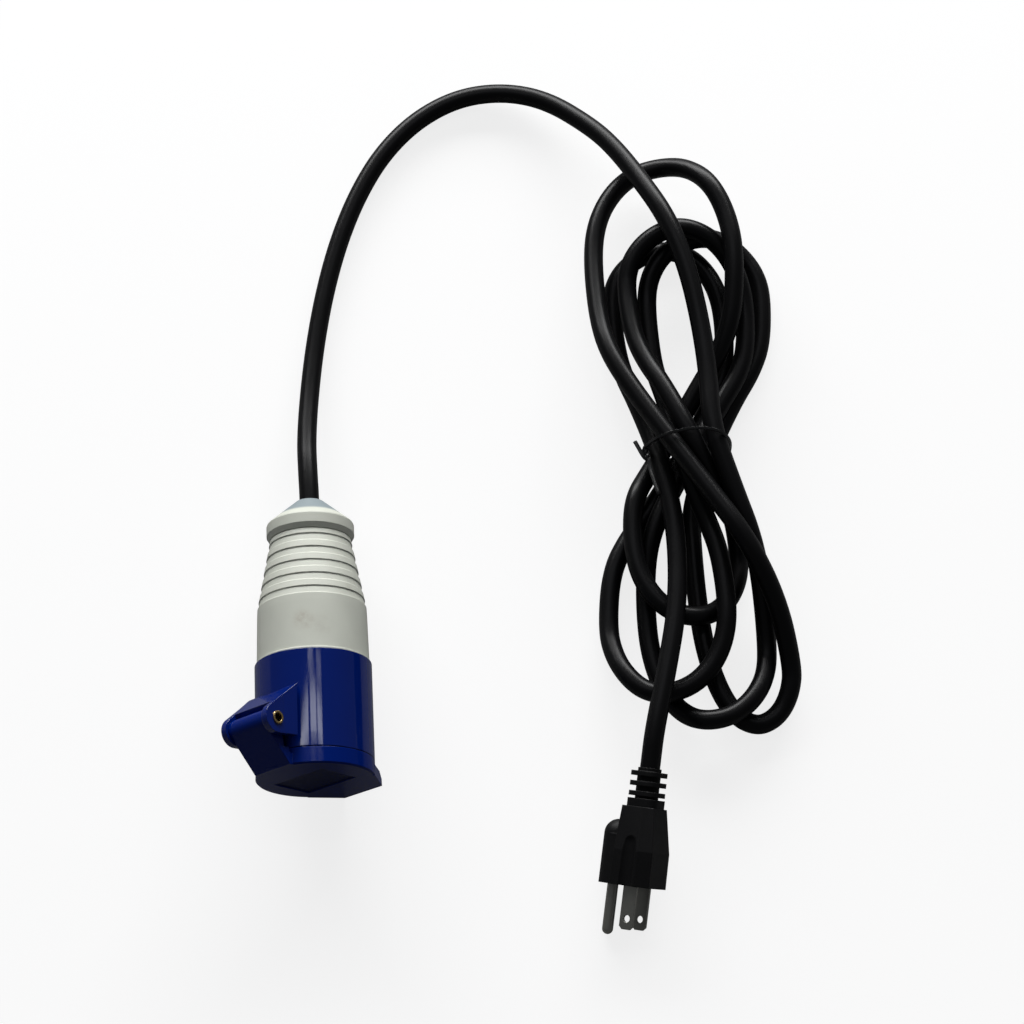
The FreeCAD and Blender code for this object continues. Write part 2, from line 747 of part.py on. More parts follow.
CONTACTS = {
    "line": (30, "live"),
    "neutral": (150, "live"),
    "earth": (270, "earth"),
}
carrier = turned("Carrier", [
    ("0", "carrier_rear"),
    ("carrier_rear_radius", "carrier_rear"),
    ("carrier_rear_radius", "carrier_flange_start"),
    ("carrier_flange", "carrier_flange_start"),
    ("carrier_flange", "partition_start - fit_gap"),
    ("carrier_radius", "partition_start - fit_gap"),
    ("carrier_radius", "carrier_face - 0.6"),
    ("carrier_radius - 0.6", "carrier_face"),
    ("0", "carrier_face"),
])
holes = []
for name, (angle, kind) in CONTACTS.items():
    x = "%.5f" % (SIZE["contact_circle"] * math.cos(math.radians(angle)))
    y = "%.5f" % (SIZE["contact_circle"] * math.sin(math.radians(angle)))
    holes.append(rod("Seat_" + name, kind + "_radius + contact_gap",
                     "contact_front + fit_gap - carrier_rear + 1", x, y, "carrier_rear - 1"))
    holes.append(rod("Entry_" + name, kind + "_bore + entry_gap", "carrier_face - contact_front + 1",
                     x, y, "contact_front"))
for side in (-1, 1):
    x = "%.1f" % (side * SIZE["mount_screw_circle"])
    holes.append(rod("CarrierScrewHole%d" % (side + 1), "mount_screw_radius + 0.1", "6",
                     x, "0", "carrier_flange_start - 1"))
node(cut("ContactCarrier", carrier, holes), "contact_carrier", COUPLER)

# Contacts: turned brass sleeves with a short nose in the carrier's entry and a cross slit in front,
# and a wire hole and screw behind.

for name, (angle, kind) in CONTACTS.items():
    away = Vector(math.cos(math.radians(angle)), math.sin(math.radians(angle)), 0)
    bore = kind + "_bore"
    nose_end = "contact_front + contact_nose"
    stem = turned("Stem_" + name, [
        ("wire_hole_radius", "contact_rear"),
        (kind + "_radius", "contact_rear"),
        (kind + "_radius", "contact_front"),
        (bore + " + entry_gap - 0.05", "contact_front"),
        (bore + " + entry_gap - 0.05", nose_end),
        (bore, nose_end),
        (bore, nose_end + " - contact_bore_depth"),
        ("0", nose_end + " - contact_bore_depth"),
        ("0", "contact_rear + wire_hole_depth"),
        ("wire_hole_radius", "contact_rear + wire_hole_depth"),
    ])
    slit = block("Slit_" + name, ("12", "0.8", "16"), ("0 - 6", "0 - 0.4", "contact_front - 15"))
    screw_hole = rod("ScrewHole_" + name, "screw_radius + 0.05", "screw_reach", "0", "0",
                     "screw_height", away)
    place = Placement(away * SIZE["contact_circle"], Rotation())
    node(cut("Contact_" + name, stem, [slit, screw_hole]), "contact_" + name, COUPLER.multiply(place))

# Terminal screws: one in the side of each contact, bearing on its conductor.

screws = []
for name, (angle, kind) in CONTACTS.items():
    away = Vector(math.cos(math.radians(angle)), math.sin(math.radians(angle)), 0)
    foot = away * number("contact_circle + conductor_radius + 0.1") + Vector(0, 0, SIZE["screw_height"])
    shank = Part.makeCylinder(SIZE["screw_radius"], number("screw_reach - conductor_radius"), foot, away)
    groove = Part.makeBox(0.9, 4, 0.6, Vector(-0.45, -2, number("screw_reach - conductor_radius - 0.6")))
    groove.Placement = Placement(foot, Rotation(Vector(0, 0, 1), away)).multiply(groove.Placement)
    screws.append(shank.cut(groove))
node(plain("TerminalScrews", Part.makeCompound(screws)), "terminal_screws", COUPLER)

# Carrier screws: two, from behind, through the flange into the partition.

screws = []
for side in (-1, 1):
    spot = Vector(side * SIZE["mount_screw_circle"], 0, SIZE["carrier_flange_start"])
    shank = Part.makeCylinder(SIZE["mount_screw_radius"], number("mount_screw_end - carrier_flange_start"),
                              spot)
    head = Part.makeCylinder(SIZE["mount_screw_head"], 1.5, spot - Vector(0, 0, 1.5))
    groove = Part.makeBox(5, 0.7, 0.7, spot + Vector(-2.5, -0.35, -1.6))
    screws.append(shank.fuse(head).cut(groove).removeSplitter())
carrier_screws = plain("CarrierScrews", Part.makeCompound(screws))
screw_bores = [rod("PartitionBore%d" % (side + 1), "mount_screw_radius", "mount_screw_end - partition_start",
                   "%.1f" % (side * SIZE["mount_screw_circle"]), "0", "partition_start")
               for side in (-1, 1)]
node(carrier_screws, "carrier_screws", COUPLER)
housing = doc.getObject("FrontHousing")
housing.Tool.Shapes = housing.Tool.Shapes + screw_bores


# Cores: three insulated wires from the end of the sheath to the terminals, each bared at its tip.

def core(begin, lead, finish, bare):
    """A wire from begin to finish that starts and ends along Z."""
    rise = Vector(0, 0, lead)
    wire = route_wire([begin, begin + rise, finish - rise, finish])
    skin = tube(wire, SIZE["core_radius"])
    metal = Part.makeCylinder(SIZE["conductor_radius"], bare, finish, Vector(0, 0, 1))
    return skin.fuse(metal)


for name, (angle, kind) in CONTACTS.items():
    away = Vector(math.cos(math.radians(angle)), math.sin(math.radians(angle)), 0)
    begin = away * SIZE["core_circle"] + Vector(0, 0, SIZE["cord_inside"])
    finish = away * SIZE["contact_circle"] + Vector(0, 0, SIZE["contact_rear"])
    node(plain("Core_" + name, core(begin, 7, finish, number("wire_hole_depth - 0.5"))),
         "core_" + name, COUPLER)

# Cord, first stretch: out of the clamp nut, down to the surface and round to the hank. The points
# are chosen by eye along the photographed line.

LEAD_ROUTE = [
    (-1.0, 98.5, 13.6), (0.8, 123.0, 8.2), (4.2, 149.0, 5.2), (9.5, 175.0, 4.6),
    (17.0, 200.5, 4.6), (27.0, 224.0, 4.6), (39.5, 244.0, 4.6), (56.0, 260.0, 4.6),
    (76.0, 270.0, 4.9), (97.5, 271.2, 6.2), (117.5, 264.2, 9.2),
]


def level(n):
    """The height of a strand that lies n strands up."""
    return SIZE["level_ground"] + SIZE["level_step"] * n


# Hank: eight loops, alternately below and above the tied waist. Each waist pass has its place
# across, its slant and its level; each loop has the place of its widest line, its half width, its
# reach, and seven levels from the way in to the way out.

PASSES = [
    (185.5, -79, 2.79), (178.0, 56, 0.80), (175.3, -62, 2.45), (157.5, 53, 0.14),
    (164.8, -65, 2.83), (186.0, 60, 0.12), (167.3, -72, 1.72), (169.5, 57, 0.12),
    (156.0, -76, 1.12),
]
LOOPS = [
    (-1, 173.5, 0.0, 27.5, 42.0, (1.6, 0.0, 0.6, 1.1, 0.15, 0.0, 0.4)),
    (1, 174.7, 160.0, 26.9, 31.5, (0.95, 0.45, 1.45, 2.2, 1.68, 1.25, 1.92)),
    (-1, 167.5, 43.0, 25.5, 38.0, (0.8, 0.15, 0.45, 1.05, 1.1, 1.09, 0.66)),
    (1, 166.0, 178.0, 33.0, 49.0, (1.35, 2.3, 2.02, 0.7, 0.75, 1.08, 2.21)),
    (-1, 190.0, -12.0, 21.0, 31.5, (2.65, 0.4, 0.0, 0.0, 0.0, 0.0, 0.0)),
    (1, 184.0, 152.0, 28.5, 38.5, (0.0, 0.0, 0.15, 0.9, 1.05, 0.6, 0.64)),
    (-1, 157.3, 5.0, 27.3, 34.5, (1.65, 1.68, 1.3, 1.25, 0.9, 0.0, 0.0)),
    (1, 166.5, 152.0, 26.5, 36.0, (0.0, 0.0, 0.0, 0.0, 0.0, 0.0, 0.25)),
]
WAY_IN = [
    (137.0, 246.0, 1.30), (147.0, 233.0, 1.80), (157.0, 215.0, 2.40), (169.0, 190.0, 3.20),
    (177.0, 165.0, 3.10), (181.5, 139.0, 2.70), (183.5, 114.0, 2.60),
]
WAY_OUT = [(160.5, 66.0, 1.49), (163.0, 40.0, 1.75), (160.5, 8.0, 2.25), (153.3, -22.0, 2.42)]


def slanted(degrees):
    return Vector(math.cos(math.radians(degrees)), math.sin(math.radians(degrees)), 0)


def flat(x, y):
    return Vector(x, y, 0)


def hank_spots():
    """The hank's spots with their headings seen from above, and their levels."""
    spots = [(flat(x, y), None, n) for x, y, n in WAY_IN]
    for i, (x, slant, n) in enumerate(PASSES):
        here = flat(x, SIZE["waist"])
        spots.append((here, slanted(slant), n))
        if i == len(LOOPS):
            break
        out, cx, cy, half, reach, levels = LOOPS[i]
        after = PASSES[i + 1]
        corners = [
            (here, slanted(slant)),
            (flat(cx + half, cy), flat(0, out)),
            (flat(cx, cy + out * reach), flat(-1, 0)),
            (flat(cx - half, cy), flat(0, -out)),
            (flat(after[0], SIZE["waist"]), slanted(after[1])),
        ]
        heights = iter(levels)
        for k in range(4):
            if k:
                spots.append((corners[k][0], corners[k][1], next(heights)))
            joint, along = biarc(*corners[k], *corners[k + 1])
            spots.append((joint, along, next(heights)))
    spots += [(flat(x, y), None, n) for x, y, n in WAY_OUT]
    return spots


def hank_path(into, onward):
    """Spots and headings of the whole hank, with a straight piece of one cord's width at each end."""
    plan = hank_spots()
    points = [Vector(p.x, p.y, level(n)) for p, t, n in plan]
    headings = []
    for i, (p, t, n) in enumerate(plan):
        if t is None:
            before = plan[max(i - 1, 0)][0]
            beyond = plan[min(i + 1, len(plan) - 1)][0]
            t = unit(beyond - before)
        rise = 0.0
        if 0 < i < len(plan) - 1:
            back = points[i] - points[i - 1]
            ahead = points[i + 1] - points[i]
            a = back.z / math.hypot(back.x, back.y)
            b = ahead.z / math.hypot(ahead.x, ahead.y)
            if a * b > 0:
                rise = 2 * a * b / (a + b)
        headings.append(unit(Vector(t.x, t.y, rise)))
    headings[0] = unit(points[0] - into)
    headings[-1] = unit(onward - points[-1])
    straight = 2 * SIZE["cord_radius"]
    begin = points[0] - headings[0] * straight
    finish = points[-1] + headings[-1] * straight
    return begin, points, headings, finish


TAIL_MIDDLE = PLUG_START - PLUG_ALONG * 17.0
into = Vector(*LEAD_ROUTE[-1])
hank_begin, hank_points, hank_headings, hank_finish = hank_path(into, TAIL_MIDDLE)
core_wire = biarc_wire(hank_points, hank_headings)
hank_wire = Part.Wire([Part.LineSegment(hank_begin, hank_points[0]).toShape()] + core_wire.Edges
                      + [Part.LineSegment(hank_points[-1], hank_finish).toShape()])


def samples(wire, step):
    """Points along a wire with their distance from its start."""
    out = []
    run = 0.0
    for edge in wire.OrderedEdges:
        count = max(1, int(round(edge.Length / step)))
        for i in range(count):
            out.append((run + edge.Length * i / count, edge.getParameterByLength(edge.Length * i / count),
                        edge))
        run += edge.Length
    return [(s, edge.valueAt(u)) for s, u, edge in out]


def least_gap(first, second, width, apart):
    """The least gap between two lists of samples, pairs nearer than apart along one wire left out."""
    best = (1e9, None)
    for s, p in first:
        for r, q in second:
            if abs(s - r) < apart:
                continue
            if abs(p.x - q.x) > best[0] + width or abs(p.y - q.y) > best[0] + width:
                continue
            gap = (p - q).Length - width
            if gap < best[0]:
                best = (gap, p)
    return best


hank_samples = samples(hank_wire, 1.5)
gap, spot = least_gap(hank_samples, hank_samples, 2 * SIZE["cord_radius"], 6 * SIZE["cord_radius"])
print("hank length %.0f, least gap to itself %.3f at (%.0f, %.0f, %.0f)"
      % (hank_wire.Length, gap, spot.x, spot.y, spot.z))
radii = [e.Curve.Radius for e in hank_wire.Edges if hasattr(e.Curve, "Radius")]
print("hank radii from %.0f, lowest point %.2f" % (min(radii), min(p.z for s, p in hank_samples)))

lay = Placement(ORIGIN * -1, Rotation())
lead_points = [COUPLER_START + ALONG * SIZE["cord_inside"], COUPLER_START - ALONG * 6]
lead_points += [Vector(*p) for p in LEAD_ROUTE] + [hank_begin]
lead_wire = route_wire(lead_points, "cord lead")
node(plain("CordLead", tube(lead_wire, SIZE["cord_radius"], "cord lead")), "cord_lead", lay)
node(plain("CordHank", tube(hank_wire, SIZE["cord_radius"], "cord hank")), "cord_hank", lay)
tail_points = [hank_finish, TAIL_MIDDLE, PLUG_START, PLUG_START + PLUG_ALONG * SIZE["cord_in_plug"]]
tail_wire = route_wire(tail_points[:2] + tail_points[3:], "cord tail")
node(plain("CordTail", tube(tail_wire, SIZE["cord_radius"], "cord tail")), "cord_tail", lay)
print("whole cord %.0f" % (lead_wire.Length + hank_wire.Length + tail_wire.Length))

# Wire tie: one thin wire round the waist, its ends twisted together on the left.

KNOT = Vector(149.6, 88.2, 15.6)
KNOT_END = Vector(144.8, 88.6, 17.2)
TIE_LOOP = [
    (151.3, 18.6), (155.3, 26.0), (159.6, 33.7), (164.3, 37.1), (172.0, 37.5), (180.0, 37.3),
    (187.0, 36.4), (191.6, 33.0), (192.4, 24.0), (192.3, 10.0), (190.8, 2.6), (186.0, 0.65),
    (172.0, 0.65), (158.0, 0.65), (152.4, 2.8), (150.2, 9.0),
]
TIE_TURNS = 1.5


def twist(phase):
    """Quarter-turn spots and headings of one of the two strands, from the bundle outwards."""
    run = KNOT_END - KNOT
    along = unit(run)
    side = unit(Vector(0, 0, 1).cross(along))
    up = along.cross(side)
    count = int(4 * TIE_TURNS)
    swing = 2 * math.pi * TIE_TURNS * SIZE["tie_twist"]
    out = []
    for i in range(count + 1):
        angle = phase + math.pi / 2 * i
        reach = side * math.cos(angle) + up * math.sin(angle)
        sideways = up * math.cos(angle) - side * math.sin(angle)
        out.append((KNOT + run * (i / count) + reach * SIZE["tie_twist"],
                    unit(run + sideways * swing)))
    return out


loop = [Vector(x, SIZE["waist"] - 0.035 * (x - 150), z) for x, z in TIE_LOOP]
short_tail = [Vector(141.4, 88.0, 18.6)]
long_tail = [Vector(143.4, 85.8, 19.4), Vector(145.6, 78.5, 20.2), Vector(149.8, 69.5, 20.8),
             Vector(154.2, 60.8, 21.4)]
first = [(p, t * -1) for p, t in twist(math.pi / 2)[::-1]]
second = twist(-math.pi / 2)
ties = ([(p, None) for p in short_tail] + first
        + [(p, Vector(-1, 0.035, 0).normalize() if p.z < 1 else None) for p in loop] + second
        + [(p, None) for p in long_tail])
tie_spots = [p for p, t in ties]
tie_headings = []
for i, (p, t) in enumerate(ties):
    before = tie_spots[max(i - 1, 0)]
    beyond = tie_spots[min(i + 1, len(ties) - 1)]
    tie_headings.append(t if t is not None else unit(unit(beyond - p) + unit(p - before))
                        if 0 < i < len(ties) - 1 else unit(beyond - before))
tie_wire = biarc_wire(tie_spots, tie_headings)
gap, spot = least_gap(samples(tie_wire, 1.0), hank_samples,
                      number("tie_radius + cord_radius"), -1)
print("tie gap to the hank %.2f at (%.0f, %.0f, %.0f)" % (gap, spot.x, spot.y, spot.z))
tie_samples = samples(tie_wire, 0.3)
gap, spot = least_gap(tie_samples, tie_samples, 2 * SIZE["tie_radius"], 3)
print("tie length %.0f, gap to itself %.2f at (%.0f, %.0f, %.0f), least radius %.2f"
      % (tie_wire.Length, gap, spot.x, spot.y, spot.z,
         min(e.Curve.Radius for e in tie_wire.Edges if hasattr(e.Curve, "Radius"))))
node(plain("TwistTie", tube(tie_wire, SIZE["tie_radius"], "tie")), "twist_tie", lay)

# Plug: strain relief, body, bridge, blades, ground pin and cores, in the plug's own frame.

BLADE_X = SIZE["blade_spacing"] / 2
BLADE_Y = -SIZE["blade_shift"]
GROUND_Y = number("ground_offset - blade_shift")
BODY_START = SIZE["relief_length"]
BODY_END = number("relief_length + body_length")
relief = [Part.makeCylinder(SIZE["relief_radius"], SIZE["relief_length"])]


def oval(half_x, half_y, height, thickness, corner):
    """A flat plate with rounded corners, square to the cord."""
    plate = Part.makeBox(2 * half_x, 2 * half_y, thickness, Vector(-half_x, -half_y, height))
    return plate.makeFillet(corner, [e for e in plate.Edges
                                     if abs(e.BoundBox.ZLength - thickness) < 1e-6])


for i in range(3):
    relief.append(oval(SIZE["relief_tall"], SIZE["relief_wide"],
                       SIZE["relief_first"] + i * SIZE["relief_pitch"] - SIZE["relief_disc"] / 2 + 0.2,
                       SIZE["relief_disc"], 4.6))
relief.append(oval(SIZE["relief_tall"], SIZE["relief_wide"], number("relief_length - relief_collar"),
                   SIZE["relief_collar"], 4.0))
relief = relief[0].fuse(relief[1:]).cut(Part.makeCylinder(SIZE["relief_bore"], BODY_START))
node(plain("PlugRelief", relief.removeSplitter()), "plug_relief", PLUG)


def section(height, flat_half, flat_at, side_half, side_at, end_half, end_at):
    """One outline of the plug's body, straight-sided, at a height."""
    right = [(flat_half, -flat_at), (side_half, -side_at), (end_half, end_at)]
    corners = right + [(-x, y) for x, y in reversed(right)]
    ring = [Vector(x, y, height) for x, y in corners]
    return Part.makePolygon(ring + ring[:1])


def named(*names):
    return [SIZE[n] for n in names]


front_sizes = named("flat_half", "flat", "side_half", "side", "end_half", "end")
rear_sizes = named("rear_flat_half", "rear_flat", "rear_side_half", "rear_side", "rear_end_half",
                   "rear_end")
shell = Part.makeLoft([
    section(BODY_START, *rear_sizes),
    section(number("relief_length + body_middle"), *[v * 0.985 for v in front_sizes]),
    section(BODY_END, *front_sizes),
], True, True)
lobe = Part.makeCylinder(SIZE["lobe_radius"], BODY_END - SIZE["lobe_start"],
                         Vector(0, GROUND_Y, SIZE["lobe_start"]))
dome = Part.makeSphere(SIZE["lobe_radius"], Vector(0, GROUND_Y, SIZE["lobe_start"]))
cheek_out = SIZE["lobe_radius"] * 0.94
cheek_in = SIZE["end_half"] - 0.4
cheek_low, cheek_high = SIZE["end"] - 4, GROUND_Y + 2.2
cheek = Part.makeLoft([
    Part.makePolygon([Vector(x, y, z) for x, y in (
        (-cheek_in, cheek_low), (cheek_in, cheek_low), (cheek_out, cheek_high),
        (-cheek_out, cheek_high), (-cheek_in, cheek_low))])
    for z in (SIZE["lobe_start"], BODY_END)], True, True)
body = shell.fuse([lobe, dome, cheek])
for side in (-1, 1):
    where = Vector(side * SIZE["scoop_out"], SIZE["scoop_side"], SIZE["scoop_start"])
    groove = Part.makeCylinder(SIZE["scoop_radius"], BODY_END - SIZE["scoop_start"] + 1, where)
    body = body.cut(groove.fuse(Part.makeSphere(SIZE["scoop_radius"], where)))


def blade(side, clearance=0.0):
    """A flat blade with clipped corners and a hole near its tip; the tool for its slot without."""
    thick = SIZE["blade_thickness"] + 2 * clearance
    wide = SIZE["blade_width"] + 2 * clearance
    x = side * BLADE_X
    root = BODY_END - SIZE["blade_root"] - clearance
    tip = BODY_END + SIZE["blade_reach"]
    c = SIZE["blade_corner"]
    plan = [(-wide / 2, root), (wide / 2, root), (wide / 2, tip - c), (wide / 2 - c, tip),
            (-wide / 2 + c, tip), (-wide / 2, tip - c), (-wide / 2, root)]
    face = Part.Face(Part.makePolygon([Vector(x - thick / 2, BLADE_Y + y, z) for y, z in plan]))
    shape = face.extrude(Vector(thick, 0, 0))
    if clearance:
        return shape
    hole = Part.makeCylinder(SIZE["blade_hole"], 6,
                             Vector(x - 3, BLADE_Y, tip - SIZE["blade_hole_back"]), Vector(1, 0, 0))
    return shape.cut(hole)


def ground(clearance=0.0):
    """A round pin with a round tip on a thinner root; the tool for its hole without the pin."""
    bottom = BODY_END - SIZE["blade_root"] - clearance
    root = Part.makeCylinder(SIZE["ground_root"] + clearance, BODY_END - bottom,
                             Vector(0, GROUND_Y, bottom))
    if clearance:
        return root
    tip = BODY_END + SIZE["ground_reach"] - SIZE["ground_radius"]
    shank = Part.makeCylinder(SIZE["ground_radius"], tip - BODY_END, Vector(0, GROUND_Y, BODY_END))
    point = Part.makeSphere(SIZE["ground_radius"], Vector(0, GROUND_Y, tip))
    return root.fuse([shank, point]).removeSplitter()


def plug_core(where, clearance=0.0):
    """A straight core from the end of the sheath to the root of a blade or the ground pin."""
    begin = unit(where) * SIZE["core_circle"] + Vector(0, 0, SIZE["cord_in_plug"])
    finish = Vector(where.x, where.y, BODY_END - SIZE["blade_root"])
    radius = SIZE["core_radius"] + clearance
    run = finish - begin
    rise = Part.makeCylinder(radius, run.Length, begin, run)
    return rise.cut(Part.makeBox(40, 40, 20, Vector(-20, -20, finish.z))).cut(
        Part.makeBox(40, 40, 20, Vector(-20, -20, begin.z - 20)))


gap = SIZE["mould_gap"]
ROOTS = {
    "line": Vector(BLADE_X, BLADE_Y, 0),
    "neutral": Vector(-BLADE_X, BLADE_Y, 0),
    "earth": Vector(0, GROUND_Y, 0),
}
metal = [blade(1, gap), blade(-1, gap), ground(gap)]
cord_room = Part.makeCylinder(SIZE["relief_bore"], SIZE["cord_in_plug"] - BODY_START,
                              Vector(0, 0, BODY_START))
cores = {name: plug_core(where) for name, where in ROOTS.items()}
room = [plug_core(where, gap) for where in ROOTS.values()]


def bridge_plan(grow):
    ring = [Vector(x, y, BODY_END - SIZE["bridge_thickness"] - grow) for x, y in (
        (-8.6 - grow, -5.4 - grow), (8.6 + grow, -5.4 - grow), (8.6 + grow, 4.6 + grow),
        (4.2 + grow, GROUND_Y + 3.8 + grow), (-4.2 - grow, GROUND_Y + 3.8 + grow),
        (-8.6 - grow, 4.6 + grow))]
    face = Part.Face(Part.makePolygon(ring + ring[:1]))
    return face.extrude(Vector(0, 0, SIZE["bridge_thickness"] + grow))


body = body.cut([cord_room] + room + metal + [bridge_plan(gap)]).removeSplitter()
node(plain("PlugBody", body), "plug_body", PLUG)
node(plain("PlugBridge", bridge_plan(0).cut(metal)), "plug_bridge", PLUG)
node(plain("BladeLine", blade(1)), "blade_line", PLUG)
node(plain("BladeNeutral", blade(-1)), "blade_neutral", PLUG)
node(plain("GroundPin", ground()), "ground_pin", PLUG)
for name, shape in cores.items():
    node(plain("PlugCore_" + name, shape), "plug_core_" + name, PLUG)

# Check the whole document, then write one file for each piece.

doc.recompute()
for thing in doc.Objects:
    if "Invalid" in thing.State or "Error" in thing.State:
        raise RuntimeError("%s is in state %s" % (thing.Label, thing.State))
for thing in NODES:
    if thing.Shape.isNull() or not thing.Shape.isValid() or not thing.Shape.Solids:
        raise RuntimeError("%s has no valid solid" % thing.Label)
os.makedirs("parts", exist_ok=True)
low = 1e9
for thing in NODES:
    thing.Shape.exportStep(os.path.join("parts", thing.Label + ".step"))
    box = thing.Shape.optimalBoundingBox(True, False)
    low = min(low, box.ZMin)
    print("%-18s solids %d volume %8.0f x %.1f..%.1f y %.1f..%.1f z %.2f..%.1f"
          % (thing.Label, len(thing.Shape.Solids), thing.Shape.Volume, box.XMin, box.XMax,
             box.YMin, box.YMax, box.ZMin, box.ZMax))
print("%d pieces, lowest point %.2f" % (len(NODES), low))
LEAD_PIECES = ("cord_", "plug_", "blade_", "ground", "twist")
own = [thing for thing in NODES if not thing.Label.startswith(LEAD_PIECES)]
box = own[0].Shape.optimalBoundingBox(True, False)
for thing in own[1:]:
    box.add(thing.Shape.optimalBoundingBox(True, False))
print("coupler outline x %.3f..%.3f y %.3f..%.3f z %.3f..%.3f, middle %.3f %.3f"
      % (box.XMin, box.XMax, box.YMin, box.YMax, box.ZMin, box.ZMax, (box.XMin + box.XMax) / 2,
         (box.YMin + box.YMax) / 2))
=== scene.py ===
# %% [markdown]
# # A shore power cord
#
# The object is an adaptor lead: a blue camping coupler with a grey grip, nearly three metres of
# black cord wound into a tied hank, and a black household plug. The hard pieces come from the
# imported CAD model. This script adds the cord, the twist tie, the finishes, the lights and the
# camera. Lengths are in metres, and the coupler lies along Y with its lid towards the viewer.

# %% Load the frame
import bmesh
import bpy
import math
import numpy as np
from mathutils import Matrix, Vector


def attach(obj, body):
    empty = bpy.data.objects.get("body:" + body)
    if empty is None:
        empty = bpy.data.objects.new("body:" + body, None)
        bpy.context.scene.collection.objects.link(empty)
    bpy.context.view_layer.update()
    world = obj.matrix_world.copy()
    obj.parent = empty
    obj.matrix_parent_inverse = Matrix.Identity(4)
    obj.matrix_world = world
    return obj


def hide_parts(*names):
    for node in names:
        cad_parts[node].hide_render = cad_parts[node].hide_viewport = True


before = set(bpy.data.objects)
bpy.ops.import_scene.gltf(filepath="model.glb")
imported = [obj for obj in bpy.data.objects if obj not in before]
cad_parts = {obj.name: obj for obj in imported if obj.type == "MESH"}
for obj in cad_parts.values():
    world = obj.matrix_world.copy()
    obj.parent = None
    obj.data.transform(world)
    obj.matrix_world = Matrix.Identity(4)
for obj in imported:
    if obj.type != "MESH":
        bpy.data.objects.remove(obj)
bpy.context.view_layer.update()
MM = 0.001


# %% [markdown]
# ## Camera
#
# The picture was taken from above, leaning a little towards the lid end, with a long lens. A
# camera that looks at one point on the floor from a height of 71.5 degrees gives the same
# foreshortening. Its matrix is built from three directions, which is plainer to check than a
# constraint: the picture's right, the picture's up, and the way back towards the viewer.

# %% Camera
LOOK_AT = Vector((96.475, 63.24, 0)) * MM
CAMERA_HEIGHT = math.radians(71.5)
CAMERA_TURN = math.radians(3.0)
CAMERA_DISTANCE = 1360 * MM
SENSOR_WIDTH = 36
PICTURE_WIDTH = 1024
FOCAL_LENGTH = 3000  # counted in pixels of the picture, as its width is
FARTHEST_SEEN = 20

forward = Vector((math.sin(CAMERA_TURN) * math.cos(CAMERA_HEIGHT),
                  math.cos(CAMERA_TURN) * math.cos(CAMERA_HEIGHT), -math.sin(CAMERA_HEIGHT)))
picture_right = Vector((math.cos(CAMERA_TURN), -math.sin(CAMERA_TURN), 0))
picture_up = picture_right.cross(forward)

lens = bpy.data.cameras.new("camera")
lens.sensor_width = SENSOR_WIDTH
lens.lens = SENSOR_WIDTH * FOCAL_LENGTH / PICTURE_WIDTH
lens.clip_end = FARTHEST_SEEN
camera = bpy.data.objects.new("camera", lens)
turn = Matrix((picture_right, picture_up, -forward)).transposed().to_4x4()
camera.matrix_world = Matrix.Translation(LOOK_AT - forward * CAMERA_DISTANCE) @ turn
bpy.context.scene.collection.objects.link(camera)
bpy.context.scene.camera = camera
print("camera at", tuple(round(v, 3) for v in camera.matrix_world.translation))

# %% [markdown]
# ## Route of the cord
#
# The whole cord shows in the picture, so its route is one smooth line from inside the coupler to
# inside the plug. A NURBS spline of order three takes the route's points as its control points.
# The lead and the ends are listed points, in millimetres. The tied hank is eight loops, by turns
# below and above the waist where the tie holds it, and each loop is worked out from its three
# outermost places and from the height of the strand on its way round.

# %% The lead, from the coupler to the hank
CORD_THICKNESS = 8.8
ORIGIN = np.array([-6.19, 0.46, 0.0])  # the frame's origin, in the millimetres of these points
LEAD = [
    (-0.1, 41.6, 22.6), (-0.05, 66.0, 21.0), (-0.6, 82.0, 18.6),
    (-1.0, 98.5, 13.6), (0.8, 123.0, 8.2), (4.2, 149.0, 5.2), (9.5, 175.0, 4.6),
    (17.0, 200.5, 4.6), (27.0, 224.0, 4.6), (39.5, 244.0, 4.6), (56.0, 260.0, 4.6),
    (76.0, 270.0, 4.9), (97.5, 271.2, 6.2), (117.5, 264.2, 9.2),
]
LEVEL_GROUND = 4.75
LEVEL_STEP = 9.4
WAIST = 88.0


def level(strands):
    """Height of a cord's middle that lies on so many other strands: ground plus a step for each."""
    return LEVEL_GROUND + LEVEL_STEP * np.asarray(strands, dtype=float)


def lifted(rows):
    """Places (x, y, level) made into places (x, y, height)."""
    rows = np.asarray(rows, float)
    return np.column_stack([rows[:, :2], level(rows[:, 2])])


# %% [markdown]
# ## One loop of the hank
#
# A loop leaves the waist, widens, rounds its far end, and comes back to the waist. Its plan is four
# smooth quarters. Each quarter is a cubic curve between two places whose directions are known, so
# the quarters join without a corner. The height follows a list of levels, because the strands lie
# on each other in the order in which they were wound. A level counts strands: 0 lies on the
# ground, 1 lies on one other strand, and values between them are slopes or strands in a hollow.
#
# PASSES has a row for each time that the cord passes the waist: its place across, its heading in
# degrees, and its level. LOOPS has a row for each loop: -1 for below the waist or 1 for above it,
# its outermost places on the right, at the far end and on the left, and the seven levels between
# its two passes, one at each end and middle of a quarter.

